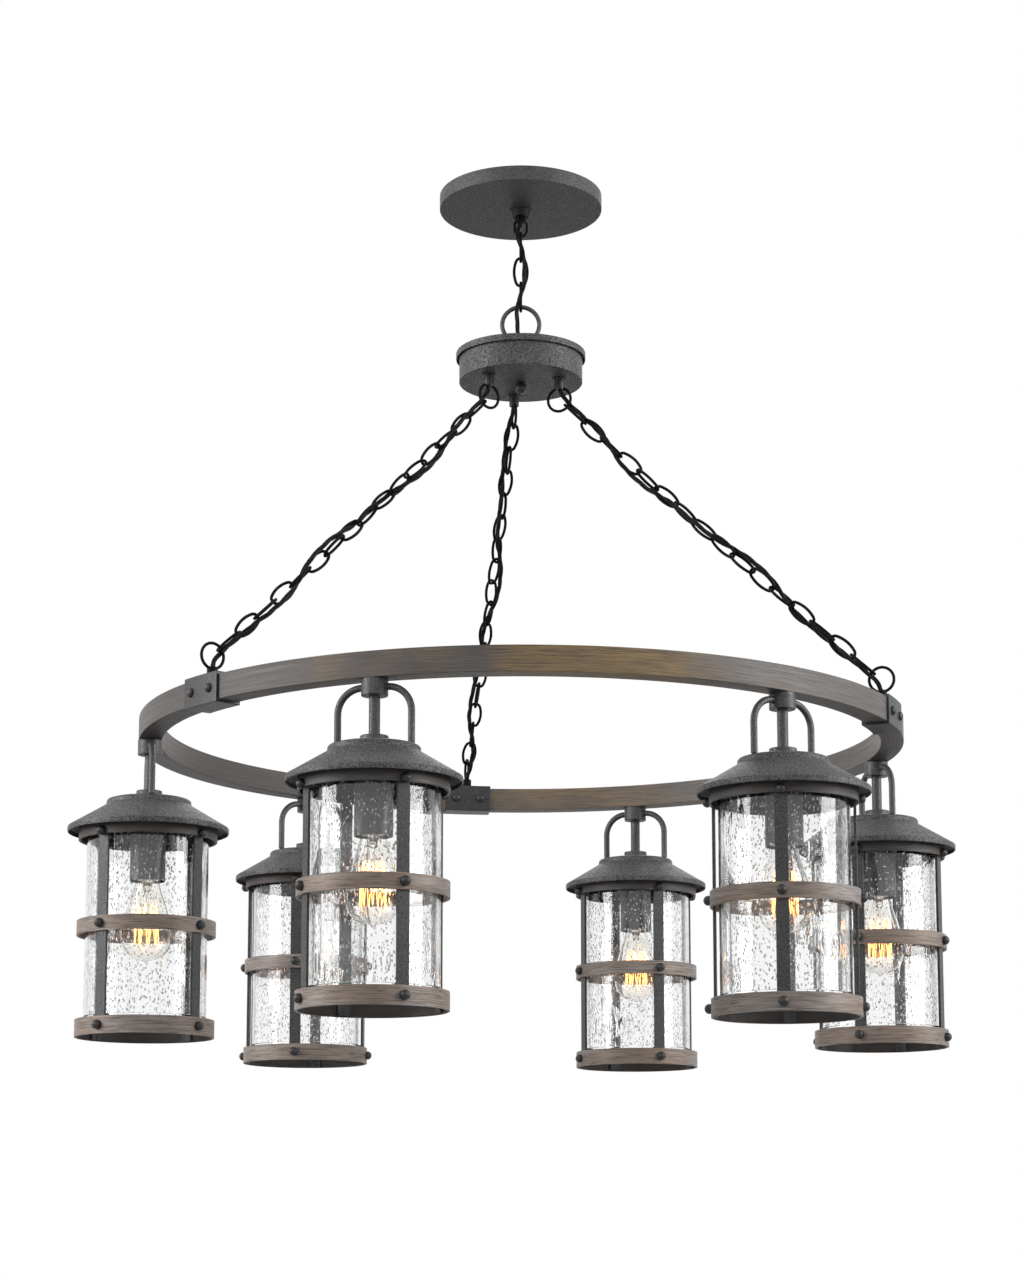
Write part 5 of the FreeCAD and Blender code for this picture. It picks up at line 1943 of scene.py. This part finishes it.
@dataclass(frozen=True)
class FloorPaint(Finish):
    """Plain pale paint that a view from below looks through.

    The camera sees it bright, but it throws little light up at the chandelier.
    """

    seen: float = 0.86
    thrown: float = 0.13
    glow: float = 0.45
    mirrored: float = 0.2

    def paint(self, recipe: Recipe) -> None:
        """Wires the material.

        Args:
            recipe: The material under way.
        """
        straight, glossy = recipe.rays()
        glow = recipe.most(straight, recipe.times(glossy, self.mirrored))
        recipe.set(
            Base_Color=recipe.blend(recipe.most(straight, glossy), (self.thrown,) * 3, (self.seen,) * 3),
            Emission_Color=WHITE, Emission_Strength=recipe.times(glow, self.glow), Roughness=0.9,
        )
        side = recipe.node("ShaderNodeNewGeometry").outputs["Backfacing"]
        clear = recipe.node("ShaderNodeBsdfTransparent").outputs[0]
        choice = recipe.node("ShaderNodeMixShader")
        for target, value in zip(choice.inputs, (side, recipe.shader.outputs[0], clear)):
            recipe.feed(target, value)
        recipe.feed(recipe.output.inputs["Surface"], choice.outputs[0])


@dataclass(frozen=True)
class Lamp:
    """A soft square lamp: its place, its side in metres and its power in watts."""

    name: str
    place: Triple
    size: float
    power: float

    def hang(self, aim: Vector) -> None:
        """Hangs the lamp so that it faces a point.

        Args:
            aim: The point.
        """
        data = bpy.data.lights.new(self.name, "AREA")
        data.size = self.size
        data.energy = self.power
        lamp = bpy.data.objects.new(self.name, data)
        lamp.location = self.place
        lamp.rotation_euler = (aim - Vector(self.place)).to_track_quat("-Z", "Y").to_euler()
        bpy.context.scene.collection.objects.link(lamp)


LAMPS = (
    Lamp("left", (-3.2, -0.9, 0.2), 1.8, 80.0),
    Lamp("right", (3.2, -0.9, 0.1), 1.8, 78.0),
    Lamp("front", (-0.5, -3.4, 1.1), 1.6, 11.0),
    Lamp("back", (0.3, 2.8, 0.9), 1.6, 16.0),
)


@dataclass
class Studio(SubAssembly):
    """Floor, soft lights, pale surroundings and the camera."""

    camera: Triple = (-0.0120, -3.2509, -1.3049)
    tilt: float = 8.9
    lens: float = 77.55
    sensor: float = 36.0
    shift: float = 0.15
    floor_level: float = -2.9
    floor_size: float = 6.0
    aim_level: float = -0.7
    sky_light: float = 0.19

    def build(self) -> None:
        """Builds the studio round the chandelier."""
        self.build_camera()
        self.build_floor()
        self.build_world()
        for lamp in LAMPS:
            lamp.hang(UP * self.aim_level)

    def build_camera(self) -> None:
        """Sets the camera that was fitted to the photograph."""
        data = bpy.data.cameras.new("camera")
        data.lens = self.lens
        data.sensor_width = self.sensor
        data.sensor_fit = "AUTO"
        data.shift_y = self.shift
        camera = bpy.data.objects.new("camera", data)
        camera.location = self.camera
        camera.rotation_euler = (math.radians(90.0 + self.tilt), 0.0, 0.0)
        bpy.context.scene.collection.objects.link(camera)
        bpy.context.scene.camera = camera

    def build_floor(self) -> None:
        """Lays the floor."""
        bm = bmesh.new()
        matrix = Matrix.Translation(UP * self.floor_level)
        bmesh.ops.create_grid(bm, x_segments=1, y_segments=1, size=self.floor_size, matrix=matrix)
        floor = self.workshop.stand("floor", bm, FloorPaint("floor_paint"))

    def build_world(self) -> None:
        """Makes pale surroundings: white to the camera, softer as a light."""
        world = bpy.data.worlds.new("surroundings")
        bpy.context.scene.world = world
        world.use_nodes = True
        wiring = Wiring(world.node_tree)
        strength = wiring.ramp(wiring.most(*wiring.rays()), 0.0, 1.0, self.sky_light, 1.0)
        sky = wiring.node("ShaderNodeBackground", Color=WHITE, Strength=strength)
        wiring.node("ShaderNodeOutputWorld", Surface=sky.outputs[0])


def main() -> None:
    """Builds the studio and every sub-assembly in order."""
    logging.basicConfig(level=logging.INFO, format="%(message)s")
    bpy.context.scene.view_settings.view_transform = "Standard"
    workshop = Workshop()
    for group in (
        Studio, ShortChain, SpreaderChains, CeilingMount, CanopyCover, Hub, RingFrame, LanternHangers,
        LanternCages, LampSockets, Bulbs,
    ):
        group(workshop).build()


if __name__ == "__main__":
    main()
